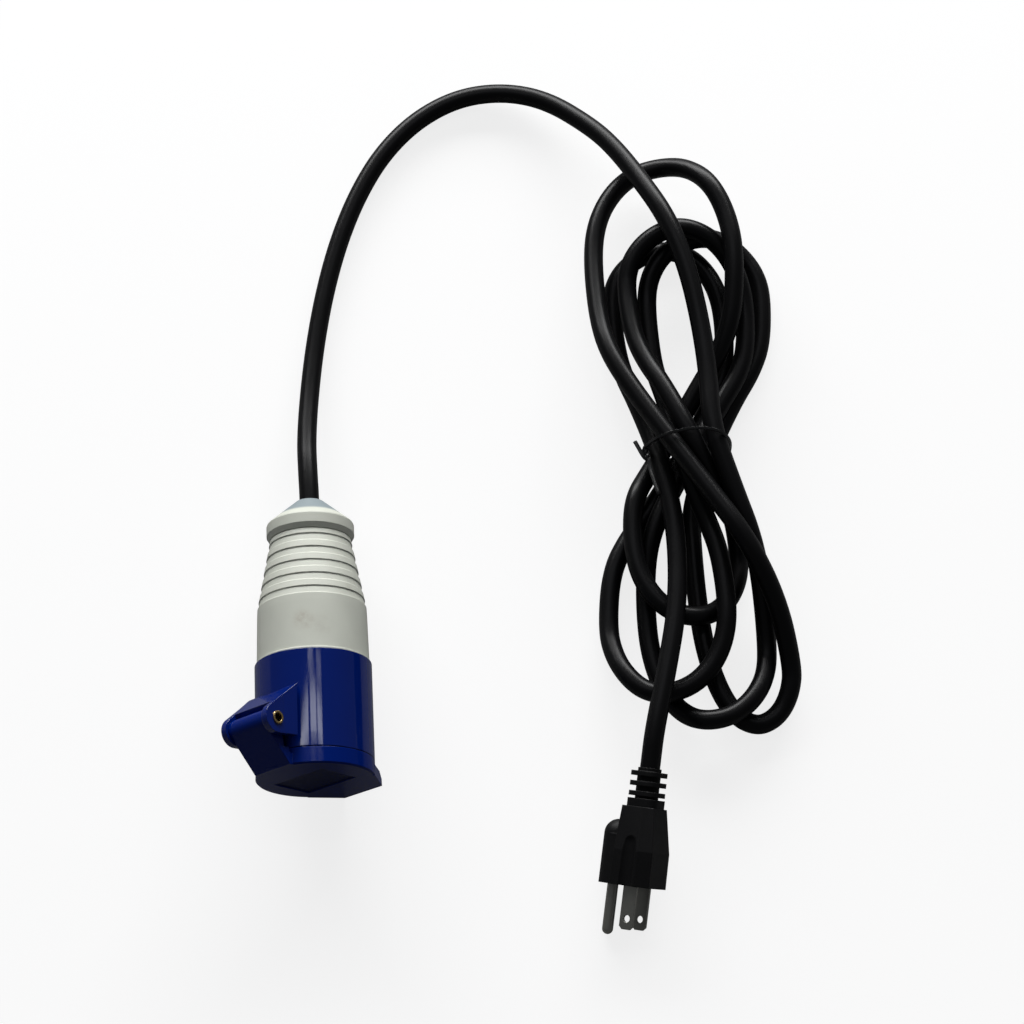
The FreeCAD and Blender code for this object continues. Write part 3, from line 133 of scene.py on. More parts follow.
# %% Loops of the hank
PASSES = [
    (180.6, -76, 3.10), (176.0, 60, 1.00), (170.2, -71, 2.89), (160.5, 60, 0.05),
    (159.1, -60, 2.94), (182.3, 66, 0.05), (165.8, -80, 1.995), (171.6, 62, 0.03),
    (155.6, -76, 1.20),
]
LOOPS = [
    (-1, (200.3, -8.5), (171.5, -42.3), (147.2, 5.0), (2.1, 0.1, 0.85, 1.1, 0.12, 0.0, 0.63)),
    (1, (202.2, 152.0), (173.9, 189.8), (147.8, 163.5),
     (0.95, 0.88, 1.57, 2.13, 1.68, 1.25, 1.97)),
    (-1, (191.0, 35.0), (168.5, 5.2), (143.1, 40.0), (1.66, 0.12, 0.45, 1.18, 1.18, 1.14, 1.0)),
    (1, (198.0, 175.0), (168.0, 225.9), (133.5, 179.0), (1.3, 2.47, 2.24, 0.7, 0.75, 1.08, 2.24)),
    (-1, (210.3, -18.0), (192.5, -43.0), (170.6, 18.0), (3.1, 0.45, 0.0, 0.0, 0.0, 0.0, 0.0)),
    (1, (211.0, 160.0), (186.5, 188.6), (157.0, 158.5), (0.0, 0.0, 0.15, 0.9, 1.05, 0.6, 0.74)),
    (-1, (182.8, 8.0), (152.5, -29.6), (129.9, 5.0), (1.45, 1.68, 1.3, 1.25, 0.9, 0.0, 0.0)),
    (1, (192.6, 151.0), (168.0, 186.5), (141.2, 160.0), (0.0, 0.0, 0.0, 0.0, 0.0, 0.0, 0.25)),
]
WAY_IN = [
    (136.5, 246.0, 1.30), (146.2, 233.0, 1.80), (156.0, 215.0, 2.40), (167.8, 190.0, 3.20),
    (175.4, 165.0, 3.10), (179.5, 139.0, 2.85), (181.2, 114.0, 2.83),
]
WAY_OUT = [(159.9, 66.0, 1.79), (162.5, 40.0, 1.85), (160.3, 8.0, 2.25), (153.3, -22.0, 2.42)]

# %% From a loop's row to its control points
QUARTER_STEPS = np.array([0.0, 0.25, 0.5, 0.75])
ROUND_PULL = 0.5523  # handles of this share make a quarter of a circle or an ellipse
STRAIGHT_START = {4: 0.34}  # the fifth loop leaves the waist almost straight


def quarter(here, heading, there, arrival, pull):
    """Plan points of a quarter loop: a cubic Bezier curve whose two handles lie along the two
    headings, each a share of the way that the chord goes in its own direction."""
    here, heading, there, arrival = (np.asarray(v, float) for v in (here, heading, there, arrival))
    chord = there - here
    first = here + heading * pull * abs(chord @ heading)
    second = there - arrival * pull * abs(chord @ arrival)
    s = QUARTER_STEPS[:, None]
    return (here * (1 - s) ** 3 + 3 * first * s * (1 - s) ** 2
            + 3 * second * s ** 2 * (1 - s) + there * s ** 3)


def slant(degrees):
    """Direction in the plan at an angle from X."""
    return np.array([math.cos(math.radians(degrees)), math.sin(math.radians(degrees))])


def loop_points(number):
    """Control points of one loop, from its waist pass up to the next one."""
    out, right, far, left, levels = LOOPS[number]
    x, turned, low = PASSES[number]
    after_x, after_turned, after_low = PASSES[number + 1]
    corners = [
        ((x, WAIST), slant(turned)),
        (right, (0, out)),
        (far, (-1, 0)),
        (left, (0, -out)),
        ((after_x, WAIST), slant(after_turned)),
    ]
    pulls = [STRAIGHT_START.get(number, ROUND_PULL)] + [ROUND_PULL] * 3
    plan = np.vstack([quarter(*corners[k], *corners[k + 1], pulls[k]) for k in range(4)])
    known = np.array([low, *levels, after_low])
    known_at = np.arange(len(known)) / 2  # in quarters of the loop, as the next line is
    wanted_at = np.arange(len(plan)) / len(QUARTER_STEPS)
    return np.column_stack([plan, level(np.interp(wanted_at, known_at, known))])


last_x, _, last_low = PASSES[-1]
hank = np.vstack([*(loop_points(i) for i in range(len(LOOPS))), [last_x, WAIST, level(last_low)]])
print("hank:", len(LOOPS), "loops,", len(hank), "control points")

# %% [markdown]
# ## The whole cord
#
# The curve's points are the lead, the way in, the loops, the way out and the four points that run
# down the plug's middle. The order and the end setting are given after the points are added,
# because before that they do not hold. A round bevel turns the line into cord: the bevel is one
# metre deep and each point's radius scales it down, because Blender's box of a curve counts the
# radius of its points.

# %% Helpers for splines
SPLINE_RESOLUTION = 8


def nurbs_curve(name, places):
    """A curve of one open spline of order three, with its control points in metres."""
    curve = bpy.data.curves.new(name, "CURVE")
    curve.dimensions = "3D"
    spline = curve.splines.new("NURBS")
    spline.points.add(len(places) - 1)
    spline.points.foreach_set("co", np.column_stack([places, np.ones(len(places))]).ravel())
    spline.order_u = 3
    spline.use_endpoint_u = True
    spline.resolution_u = SPLINE_RESOLUTION
    curve.resolution_u = SPLINE_RESOLUTION
    return curve


def spline_line(curve):
    """The points that a spline runs through, read from the curve while it has no bevel."""
    shape = bpy.data.objects.new("line_only", curve)
    mesh = bpy.data.meshes.new_from_object(shape)
    spots = np.empty(len(mesh.vertices) * 3)
    mesh.vertices.foreach_get("co", spots)
    bpy.data.meshes.remove(mesh)
    bpy.data.objects.remove(shape)
    return spots.reshape(-1, 3)


# %% The cord's spline
PLUG_TURN = math.radians(10.3)
PLUG_DIP = -math.radians(13.0)
PLUG_START = np.array([143.4, -64.1, 23.7])
TAIL_PLACES = (-17, -2, 12, 24)  # millimetres past the plug's start, along the plug
BEVEL_RESOLUTION = 7

plug_along = np.array([-math.sin(PLUG_TURN) * math.cos(PLUG_DIP),
                       -math.cos(PLUG_TURN) * math.cos(PLUG_DIP), math.sin(PLUG_DIP)])
tail = np.array([PLUG_START + plug_along * place for place in TAIL_PLACES])
route = np.vstack([LEAD, lifted(WAY_IN), hank, lifted(WAY_OUT), tail])
route = (route - ORIGIN) * MM

line = nurbs_curve("cord", route)
line.splines[0].points.foreach_set("radius", np.full(len(route), CORD_THICKNESS / 2 * MM))
middle = spline_line(line)
run = np.concatenate([[0], np.cumsum(np.linalg.norm(np.diff(middle, axis=0), axis=1))])
cord_length = float(run[-1])
line.bevel_depth = 1.0
line.bevel_resolution = BEVEL_RESOLUTION
line.use_fill_caps = True
cord = bpy.data.objects.new("cord", line)
bpy.context.scene.collection.objects.link(cord)
print("cord length %.3f m from %d control points" % (cord_length, len(route)))

# %% [markdown]
# ## How close the strands come
#
# Strands that lie on each other may touch but not cross. The line is sampled evenly, and the
# distances between all pairs of samples are one array. Pairs that are near along the cord belong
# to one stretch of it, so they are left out.

# %% How close the strands come
SAMPLE_STEP = 2 * MM
SAME_STRETCH = 30 * MM
at = np.arange(0, cord_length, SAMPLE_STEP)
samples = np.column_stack([np.interp(at, run, middle[:, axis]) for axis in range(3)])
apart = np.linalg.norm(samples[:, None, :] - samples[None, :, :], axis=2)
apart[np.abs(at[:, None] - at[None, :]) < SAME_STRETCH] = math.inf
closest = np.unravel_index(apart.argmin(), apart.shape)
print("least gap between strands %.2f mm at" % (apart.min() / MM - CORD_THICKNESS),
      np.round(samples[closest[0]] / MM))

# %% [markdown]
# ## The twist tie
#
# The hank is held by a black twist tie: a thin flat plastic ribbon with a wire down its middle,
# passed round the waist once and twisted at the left. Its loop lies close round the strands. One
# end is short and points up to the left, and the longer end runs down along the strands. The
# ribbon is a small flat outline with a bulge for the wire, carried along a smooth path with numpy,
# because a round wire would look too thin from the side.

# %% Path of the twist tie
KNOT = np.array([151.2, 84.2, 20.6])  # in the same millimetres as the cord's points
KNOT_END = np.array([152.3, 78.2, 20.8])
TIE_SHORT_END = [(146.8, 87.4, 20.6), (148.2, 84.2, 21.2), (150.2, 79.4, 21.6)]
TIE_LOOP = [
    (151.6, 84.2, 22.5), (153.2, 83.6, 29.0), (155.2, 83.0, 35.4), (159.8, 83.8, 38.3),
    (164.5, 85.0, 38.4), (171.6, 86.1, 38.2), (178.7, 85.4, 39.2), (185.0, 83.2, 38.8),
    (188.4, 82.0, 31.0), (189.4, 82.3, 20.0), (189.6, 83.5, 8.0), (188.6, 84.5, 1.8),
    (184.0, 85.0, 0.65), (172.0, 85.0, 0.65), (158.0, 85.0, 0.65), (151.6, 85.0, 2.8),
    (150.2, 84.8, 10.0),
]
TIE_LONG_END = [(152.6, 75.0, 21.0), (153.6, 69.0, 22.6), (155.6, 60.5, 24.2)]
TWIST_RADIUS = 0.68
TWIST_TURNS = 1.5
TWIST_POINTS = 7


def twisted(phase):
    """A strand of the twisted pair: a circle round the knot's line, moved along it."""
    share = np.linspace(0, 1, TWIST_POINTS)[:, None]
    along = (KNOT_END - KNOT) / np.linalg.norm(KNOT_END - KNOT)
    side = np.cross([0, 0, 1], along)
    side /= np.linalg.norm(side)
    up = np.cross(along, side)
    angle = phase + 2 * math.pi * TWIST_TURNS * share
    circle = TWIST_RADIUS * (side * np.cos(angle) + up * np.sin(angle))
    return KNOT + (KNOT_END - KNOT) * share + circle


tie_route = np.vstack([TIE_SHORT_END, twisted(math.pi / 2)[::-1], TIE_LOOP,
                       twisted(-math.pi / 2), TIE_LONG_END])
tie_middle = spline_line(nurbs_curve("tie_line", (tie_route - ORIGIN) * MM))
print("tie's wire %.0f mm" % (np.linalg.norm(np.diff(tie_middle, axis=0), axis=1).sum() / MM))

# %% [markdown]
# ## Carrying an outline along a path
#
# A swept surface needs a frame at each spot of the path: the way along, a side and an up. Here the
# side is kept from twisting by carrying the last one forward and making it square to the new
# direction. The points are then the spot plus the outline's two coordinates along side and up.

# %% Sweep
def sweep(name, path, outline):
    """Mesh of an outline (n by 2, metres) carried along a path (m by 3), with closed ends."""
    along = np.gradient(path, axis=0)
    along /= np.linalg.norm(along, axis=1)[:, None]
    sides = np.empty_like(path)
    last = np.cross(along[0], (0, 0, 1))
    for i, direction in enumerate(along):
        last = last - direction * (last @ direction)
        last = last / np.linalg.norm(last)
        sides[i] = last
    ups = np.cross(sides, along)
    points = (path[:, None, :] + outline[None, :, 0, None] * sides[:, None, :]
              + outline[None, :, 1, None] * ups[:, None, :])
    m, n = len(path), len(outline)
    index = np.arange(m * n).reshape(m, n)
    following = np.roll(index, -1, axis=1)
    quads = np.stack([index[:-1], index[1:], following[1:], following[:-1]], axis=-1).reshape(-1, 4)
    faces = quads.tolist() + [index[0].tolist(), index[-1][::-1].tolist()]
    mesh = bpy.data.meshes.new(name)
    mesh.from_pydata(points.reshape(-1, 3).tolist(), [], faces)
    mesh.update()
    return mesh


def solid(name, mesh):
    """A smooth piece from a mesh, with its faces turned outwards."""
    work = bmesh.new()
    work.from_mesh(mesh)
    bmesh.ops.recalc_face_normals(work, faces=work.faces)
    work.to_mesh(mesh)
    work.free()
    mesh.polygons.foreach_set("use_smooth", [True] * len(mesh.polygons))
    piece = bpy.data.objects.new(name, mesh)
    bpy.context.scene.collection.objects.link(piece)
    return piece


# %% The ribbon
RIBBON_HALF_WIDTH = 0.95
RIBBON_HALF_THICKNESS = 0.16
WIRE_BULGE = 0.42
WIRE_SPREAD = 0.34
OUTLINE_POINTS = 24

corner = np.linspace(0, 2 * math.pi, OUTLINE_POINTS, endpoint=False)
ribbon = np.column_stack([RIBBON_HALF_WIDTH * np.cos(corner),
                          RIBBON_HALF_THICKNESS * np.sin(corner)])
ribbon[:, 1] += WIRE_BULGE * np.exp(-(ribbon[:, 0] / WIRE_SPREAD) ** 2) * np.sign(np.sin(corner))
twist_tie = solid("twist_tie_ribbon", sweep("twist_tie_ribbon", tie_middle, ribbon * MM))
print("twist tie:", len(twist_tie.data.polygons), "faces")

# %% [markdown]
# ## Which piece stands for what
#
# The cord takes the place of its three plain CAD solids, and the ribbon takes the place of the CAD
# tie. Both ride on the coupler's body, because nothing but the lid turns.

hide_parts("cord_lead", "cord_hank", "cord_tail")
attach(cord, "coupler")
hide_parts("twist_tie")
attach(twist_tie, "coupler")

# %% [markdown]
# ## Shared surface effects
#
# Moulded plastic is never quite even. One node group gives every plastic its fine grain, its slow
# change of shade and its patches of different gloss, from the piece's own object coordinates. It
# also rounds the light on sharp edges by half a millimetre, as a moulding's edges are.

# %% Helpers for nodes
def group(name, inputs, outputs):
    """An empty shader node group with named sockets, (name, kind, default) and (name, kind), and
    the two nodes where they come in and go out."""
    tree = bpy.data.node_groups.new(name, "ShaderNodeTree")
    for title, kind, default in inputs:
        tree.interface.new_socket(title, in_out="INPUT", socket_type=kind).default_value = default
    for title, kind in outputs:
        tree.interface.new_socket(title, in_out="OUTPUT", socket_type=kind)
    return tree, tree.nodes.new("NodeGroupInput"), tree.nodes.new("NodeGroupOutput")


def add(tree, kind, values=(), **settings):
    """A new node with its settings and, by input name or number, its values."""
    made = tree.nodes.new(kind)
    for key, value in settings.items():
        setattr(made, key, value)
    for key, value in dict(values).items():
        made.inputs[key].default_value = value
    return made


def wire(tree, *pairs):
    """Join sockets, each pair an output and the input that it feeds."""
    for output, target in pairs:
        tree.links.new(output, target)


# %% The moulded skin
SLOW_NOISE = {"Scale": 60.0, "Detail": 4.0, "Roughness": 0.55}
GRAIN_NOISE = {"Detail": 3.0, "Roughness": 0.6}
EDGE_ROUNDING = 0.5 * MM
EDGE_SAMPLES = 6
GRAIN_HEIGHT = 0.2 * MM

moulded, inside, outside = group(
    "moulded skin",
    [("Colour", "NodeSocketColor", (0.5, 0.5, 0.5, 1)), ("Shade", "NodeSocketFloat", 0.05),
     ("Roughness", "NodeSocketFloat", 0.4), ("Patches", "NodeSocketFloat", 0.06),
     ("Grain size", "NodeSocketFloat", 4000.0), ("Grain depth", "NodeSocketFloat", 0.02)],
    [("Colour", "NodeSocketColor"), ("Roughness", "NodeSocketFloat"),
     ("Normal", "NodeSocketVector")])
spot = add(moulded, "ShaderNodeTexCoord")
slow = add(moulded, "ShaderNodeTexNoise", SLOW_NOISE)
grain = add(moulded, "ShaderNodeTexNoise", GRAIN_NOISE)
centred = add(moulded, "ShaderNodeMath", {1: 0.5}, operation="SUBTRACT")
shade = add(moulded, "ShaderNodeMath", {2: 1.0}, operation="MULTIPLY_ADD")
tint = add(moulded, "ShaderNodeVectorMath", operation="SCALE")
gloss = add(moulded, "ShaderNodeMath", operation="MULTIPLY_ADD")
rounded = add(moulded, "ShaderNodeBevel", {"Radius": EDGE_ROUNDING}, samples=EDGE_SAMPLES)
relief = add(moulded, "ShaderNodeBump", {"Distance": GRAIN_HEIGHT})
wire(moulded,
     (spot.outputs["Object"], slow.inputs["Vector"]),
     (slow.outputs["Fac"], centred.inputs[0]),
     (centred.outputs[0], shade.inputs[0]),
     (inside.outputs["Shade"], shade.inputs[1]),
     (inside.outputs["Colour"], tint.inputs[0]),
     (shade.outputs[0], tint.inputs["Scale"]),
     (tint.outputs[0], outside.inputs["Colour"]))
wire(moulded,
     (centred.outputs[0], gloss.inputs[0]),
     (inside.outputs["Patches"], gloss.inputs[1]),
     (inside.outputs["Roughness"], gloss.inputs[2]),
     (gloss.outputs[0], outside.inputs["Roughness"]))
wire(moulded,
     (spot.outputs["Object"], grain.inputs["Vector"]),
     (inside.outputs["Grain size"], grain.inputs["Scale"]),
     (rounded.outputs[0], relief.inputs["Normal"]),
     (grain.outputs["Fac"], relief.inputs["Height"]),
     (inside.outputs["Grain depth"], relief.inputs["Strength"]),
     (relief.outputs[0], outside.inputs["Normal"]))
print("group", moulded.name, "with", len(moulded.nodes), "nodes")

# %% [markdown]
# ## Places on the coupler
#
# Three details belong to a place: the darker bluish grey on the nut's tip, which is painted shade
# and reflection where the cord comes out, the stippled panel on the lid, and a brown smudge on the
# grip. Two small groups find them from object coordinates. One gives a point's reach along the
# coupler's axis, counted from the end where the cord leaves. The other gives a soft spot round a
# centre, broken up by noise.

# %% Reach along the coupler
AXIS = Vector((-0.00697, -0.99823, 0.05909))
CORD_END = Vector((6.14, 64.94, 21.08)) * MM

along_coupler, inside, outside = group(
    "reach along the coupler", [], [("Reach", "NodeSocketFloat")])
spot = add(along_coupler, "ShaderNodeTexCoord")
offset = add(along_coupler, "ShaderNodeVectorMath", {1: CORD_END}, operation="SUBTRACT")
onto = add(along_coupler, "ShaderNodeVectorMath", {1: AXIS}, operation="DOT_PRODUCT")
wire(along_coupler,
     (spot.outputs["Object"], offset.inputs[0]),
     (offset.outputs[0], onto.inputs[0]),
     (onto.outputs["Value"], outside.inputs["Reach"]))
print("group", along_coupler.name, "with", len(along_coupler.nodes), "nodes")

# %% A soft spot
RAGGED_NOISE = {"Scale": 320.0, "Detail": 5.0, "Roughness": 0.75}
RAGGED_RANGE = {"From Min": 0.2, "From Max": 0.85}

soft_spot, inside, outside = group(
    "soft spot", [("Centre", "NodeSocketVector", (0, 0, 0)), ("Size", "NodeSocketFloat", 0.004)],
    [("Mask", "NodeSocketFloat")])
spot = add(soft_spot, "ShaderNodeTexCoord")
away = add(soft_spot, "ShaderNodeVectorMath", operation="DISTANCE")
ratio = add(soft_spot, "ShaderNodeMath", operation="DIVIDE")
falloff = add(soft_spot, "ShaderNodeMapRange", {"From Min": 1.0, "From Max": 0.0},
              interpolation_type="SMOOTHSTEP")
ragged = add(soft_spot, "ShaderNodeTexNoise", RAGGED_NOISE)
broken = add(soft_spot, "ShaderNodeMapRange", RAGGED_RANGE, interpolation_type="SMOOTHSTEP")
mask = add(soft_spot, "ShaderNodeMath", operation="MULTIPLY")
wire(soft_spot,
     (spot.outputs["Object"], away.inputs[0]),
     (inside.outputs["Centre"], away.inputs[1]),
     (away.outputs["Value"], ratio.inputs[0]),
     (inside.outputs["Size"], ratio.inputs[1]),
     (ratio.outputs[0], falloff.inputs["Value"]),
     (spot.outputs["Object"], ragged.inputs["Vector"]),
     (ragged.outputs["Fac"], broken.inputs["Value"]),
     (falloff.outputs[0], mask.inputs[0]),
     (broken.outputs[0], mask.inputs[1]),
     (mask.outputs[0], outside.inputs["Mask"]))
print("group", soft_spot.name, "with", len(soft_spot.nodes), "nodes")

# %% [markdown]
# ## Finishes
#
# Every finish is the moulded skin in front of a Principled shader, with its own colour, gloss and
# grain. The sleeve of the coupler is glossy and its lid duller, the grip is a matt grey, and the
# cord and the plug are nearly black with a weak shine. A value that is the same all over a surface
# is set on the shader itself.

# %% A finish
def finish(name, colour, roughness, shade=0.1, patches=0.08, grain_size=4000.0, grain_depth=0.1,
           **sockets):
    """A material with the moulded skin in front of a Principled shader."""
    material = bpy.data.materials.new(name)
    material.use_nodes = True
    tree = material.node_tree
    shader = tree.nodes["Principled BSDF"]
    skin = add(tree, "ShaderNodeGroup", node_tree=moulded)
    for title, value in (("Colour", (*colour, 1)), ("Shade", shade), ("Roughness", roughness),
                         ("Patches", patches), ("Grain size", grain_size),
                         ("Grain depth", grain_depth)):
        skin.inputs[title].default_value = value
    wire(tree,
         (skin.outputs["Colour"], shader.inputs["Base Color"]),
         (skin.outputs["Roughness"], shader.inputs["Roughness"]),
         (skin.outputs["Normal"], shader.inputs["Normal"]))
    for title, value in sockets.items():
        shader.inputs[title.replace("_", " ")].default_value = value
    print("finish %s, roughness %.2f" % (name, roughness))
    return material


# %% The finishes
BLUE = (0.0, 0.012, 0.15)
GREY = (0.66, 0.68, 0.6)
JET = (0.004, 0.004, 0.0045)
LID_GRAIN = 0.02
gloss_blue = finish("glossy blue shell", BLUE, 0.04, shade=0.12, patches=0.02, grain_depth=0.015)
lid_blue = finish("blue lid", BLUE, 0.1, shade=0.12, patches=0.03, grain_depth=LID_GRAIN,
                  Specular_IOR_Level=0.15)
pale_grey = finish("pale grey grip", GREY, 0.5, shade=0.16, grain_depth=0.25)
nut_grey = finish("pale grey nut", GREY, 0.45, grain_depth=0.25)
cord_black = finish("black cord jacket", JET, 0.33, grain_depth=0.12, Specular_IOR_Level=0.2)
plug_black = finish("black plug moulding", JET, 0.5, grain_depth=0.3, Specular_IOR_Level=0.2)
tie_black = finish("black tie plastic", (0.03, 0.031, 0.031), 0.4)
insert_black = finish("black insert", (0.02, 0.02, 0.022), 0.45)
seal_rubber = finish("seal rubber", (0.015, 0.015, 0.015), 0.7)
brass = finish("brass", (0.7, 0.5, 0.22), 0.25, shade=0.3, Metallic=1.0)
steel = finish("steel", (0.55, 0.55, 0.55), 0.3, Metallic=1.0)
plated = finish("dull nickel", (0.42, 0.42, 0.38), 0.38, shade=0.35, Metallic=1.0)
core_brown = finish("brown core", (0.16, 0.07, 0.03), 0.4)
core_blue = finish("blue core", (0.04, 0.15, 0.45), 0.4)
core_earth = finish("green and yellow core", (0.3, 0.5, 0.05), 0.4)

# %% [markdown]
# ## Details on the finishes
#
# A mask is a value that is 1 at a place and 0 elsewhere. Mixing a second colour in by a mask paints
# shade and reflection on the nut's tip, darkens the sunk floor of the lid's panel and soils the
# grip. The same mask makes the panel's grain deep. The colour is mixed in front of the shader, so
# the first finish stays as it is everywhere else.

# %% Masks
PANEL_REACH = 128.2
PANEL_TOLERANCE = 0.15
PANEL_HALF_DIAGONAL = 18.6


def reach_mask(material, begin, end):
    """1 beyond the end and 0 before the begin, both in millimetres along the coupler."""
    tree = material.node_tree
    reach = add(tree, "ShaderNodeGroup", node_tree=along_coupler)
    step = add(tree, "ShaderNodeMapRange", {"From Min": begin * MM, "From Max": end * MM},
               interpolation_type="SMOOTHSTEP")
    wire(tree, (reach.outputs["Reach"], step.inputs["Value"]))
    return step.outputs[0]


def panel_mask(material):
    """1 on the sunk floor of the lid's panel: at its reach, and near enough to its middle."""
    tree = material.node_tree
    reach = add(tree, "ShaderNodeGroup", node_tree=along_coupler)
    level_with = add(tree, "ShaderNodeMath", {1: PANEL_REACH * MM, 2: PANEL_TOLERANCE * MM},
                     operation="COMPARE")
    spot = add(tree, "ShaderNodeTexCoord")
    away = add(tree, "ShaderNodeVectorMath", {1: CORD_END + AXIS * PANEL_REACH * MM},
               operation="DISTANCE")
    near = add(tree, "ShaderNodeMath", {1: PANEL_HALF_DIAGONAL * MM}, operation="LESS_THAN")
    both = add(tree, "ShaderNodeMath", operation="MULTIPLY")
    wire(tree,
         (reach.outputs["Reach"], level_with.inputs[0]),
         (spot.outputs["Object"], away.inputs[0]),
         (away.outputs["Value"], near.inputs[0]),
         (level_with.outputs[0], both.inputs[0]),
         (near.outputs[0], both.inputs[1]))
    return both.outputs[0]


def spot_mask(material, centre, size, strength):
    """A soft ragged spot of a size in millimetres round a centre in millimetres, at most as
    strong as the strength."""
    tree = material.node_tree
    spot = add(tree, "ShaderNodeGroup", node_tree=soft_spot)
    spot.inputs["Centre"].default_value = Vector(centre) * MM
    spot.inputs["Size"].default_value = size * MM
    weaker = add(tree, "ShaderNodeMath", {1: strength}, operation="MULTIPLY")
    wire(tree, (spot.outputs["Mask"], weaker.inputs[0]))
    return weaker.outputs[0]


# %% What a mask changes
COLOUR_A, COLOUR_B, COLOUR_MIXED = 6, 7, 2  # a Mix node's sockets for colours


def tint_where(material, mask, colour):
    """Mix a colour into the material's base colour where the mask output is 1."""
    tree = material.node_tree
    base = tree.nodes["Principled BSDF"].inputs["Base Color"]
    under = base.links[0].from_socket
    blend = add(tree, "ShaderNodeMix", data_type="RGBA")
    blend.inputs[COLOUR_B].default_value = (*colour, 1)
    wire(tree, (mask, blend.inputs["Factor"]), (under, blend.inputs[COLOUR_A]),
         (blend.outputs[COLOUR_MIXED], base))


def stipple_where(material, mask, plain, rough):
    """Deepen the grain from plain to rough where the mask output is 1."""
    tree = material.node_tree
    depth = add(tree, "ShaderNodeMapRange", {"To Min": plain, "To Max": rough})
    skin = next(node for node in tree.nodes if node.type == "GROUP" and node.node_tree == moulded)
    wire(tree, (mask, depth.inputs["Value"]), (depth.outputs[0], skin.inputs["Grain depth"]))


# %% Details on the finishes
# The darker bluish grey on the nut's tip is painted shade and reflection where the cord comes out.
PAINTED_NUT_SHADE_REACH = (8.8, 6.6)  # reach at which the tint begins and is full
PAINTED_NUT_SHADE_COLOUR = (0.26, 0.31, 0.33)
PANEL_BLUE = (0.0, 0.006, 0.07)
PANEL_GRAIN = 0.9
SMUDGES = [  # centre, size, strength, colour
    ((3.0, 3.0, 49.2), 6.5, 0.7, (0.4, 0.34, 0.27)),
    ((10.5, 0.0, 48.8), 8.0, 0.4, (0.45, 0.43, 0.37)),
    ((22.0, 19.0, 38.5), 3.5, 0.5, (0.3, 0.28, 0.22)),
]

# Painted shade and reflection on the nut's tip.
tint_where(nut_grey, reach_mask(nut_grey, *PAINTED_NUT_SHADE_REACH), PAINTED_NUT_SHADE_COLOUR)
sunk_floor = panel_mask(lid_blue)
tint_where(lid_blue, sunk_floor, PANEL_BLUE)
stipple_where(lid_blue, sunk_floor, LID_GRAIN, PANEL_GRAIN)
for centre, size, strength, colour in SMUDGES:
    tint_where(pale_grey, spot_mask(pale_grey, centre, size, strength), colour)
print("details: painted shade on the nut tip, lid panel and", len(SMUDGES), "smudges")

# %% [markdown]
# ## Which piece has which finish
#
# A CAD node keeps its shape and gets its finish in its first material slot. The pieces inside get
# theirs too, because they show when the lid is open.

# %% Give each piece its finish
FINISH = {
    gloss_blue: ["front_housing"],
    lid_blue: ["lid"],
    pale_grey: ["grip_body"],
    nut_grey: ["clamp_nut"],
    plug_black: ["plug_relief", "plug_body"],
    insert_black: ["contact_carrier", "clamp_jaws", "plug_bridge"],
    seal_rubber: ["body_seal", "cable_grommet", "lid_gasket"],
    brass: ["hinge_pin", "contact_line", "contact_neutral", "contact_earth"],
    steel: ["lid_spring", "terminal_screws", "carrier_screws"],
    plated: ["blade_line", "blade_neutral", "ground_pin"],
    core_brown: ["core_line", "plug_core_line"],
    core_blue: ["core_neutral", "plug_core_neutral"],
    core_earth: ["core_earth", "plug_core_earth"],
}
for material, names in FINISH.items():
    for name in names:
        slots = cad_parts[name].data.materials
        slots.clear()
        slots.append(material)
cord.data.materials.append(cord_black)
twist_tie.data.materials.append(tie_black)
print("finished:", sum(map(len, FINISH.values())), "CAD nodes, the cord and the tie")

# %% [markdown]
# ## Floor
#
# The picture's background is plain white. The floor is a middle grey that barely shines, and a
# Light Path mix adds a white glow for the camera's rays, so that the lamps can stay at a plain
# level. Glossy and clear surfaces see a little of the glow too. The lit floor then just reaches
# white, and the object's soft shadow stays.

# %% A level for each kind of ray
def seen_level(tree, by_camera, in_mirrors, otherwise):
    """Socket whose value depends on the ray: the camera's, one off a glossy or clear surface, or
    any other. It is the largest of the rays' own levels and the level of all the rest."""
    path = add(tree, "ShaderNodeLightPath")
    best = None
    for ray, value in (("Is Camera Ray", by_camera), ("Is Glossy Ray", in_mirrors),
                       ("Is Transmission Ray", in_mirrors)):
        scaled = add(tree, "ShaderNodeMath", {1: value}, operation="MULTIPLY")
        larger = add(tree, "ShaderNodeMath", {1: otherwise}, operation="MAXIMUM")
        wire(tree, (path.outputs[ray], scaled.inputs[0]), (scaled.outputs[0], larger.inputs[0]))
        if best is not None:
            wire(tree, (best, larger.inputs[1]))
        best = larger.outputs[0]
    return best


# %% Floor
FLOOR_HALF = 3.0
FLOOR_GREY = 0.25
FLOOR_ROUGHNESS = 0.9
FLOOR_SHINE = 0.1
FLOOR_GLOW = 0.81
MIRRORED_GLOW = 0.02

floor_mesh = bpy.data.meshes.new("floor")
floor_mesh.from_pydata([(-FLOOR_HALF, -FLOOR_HALF, 0), (FLOOR_HALF, -FLOOR_HALF, 0),
                        (FLOOR_HALF, FLOOR_HALF, 0), (-FLOOR_HALF, FLOOR_HALF, 0)],
                       [], [(0, 1, 2, 3)])
floor = bpy.data.objects.new("floor", floor_mesh)
bpy.context.scene.collection.objects.link(floor)
floor_white = bpy.data.materials.new("white floor")
floor_white.use_nodes = True
paint = floor_white.node_tree.nodes["Principled BSDF"]
paint.inputs["Base Color"].default_value = (FLOOR_GREY, FLOOR_GREY, FLOOR_GREY, 1)
paint.inputs["Roughness"].default_value = FLOOR_ROUGHNESS
paint.inputs["Specular IOR Level"].default_value = FLOOR_SHINE
paint.inputs["Emission Color"].default_value = (1, 1, 1, 1)
wire(floor_white.node_tree, (seen_level(floor_white.node_tree, FLOOR_GLOW, MIRRORED_GLOW, 0.0),
                             paint.inputs["Emission Strength"]))
floor.data.materials.append(floor_white)
print("floor", 2 * FLOOR_HALF, "m square")

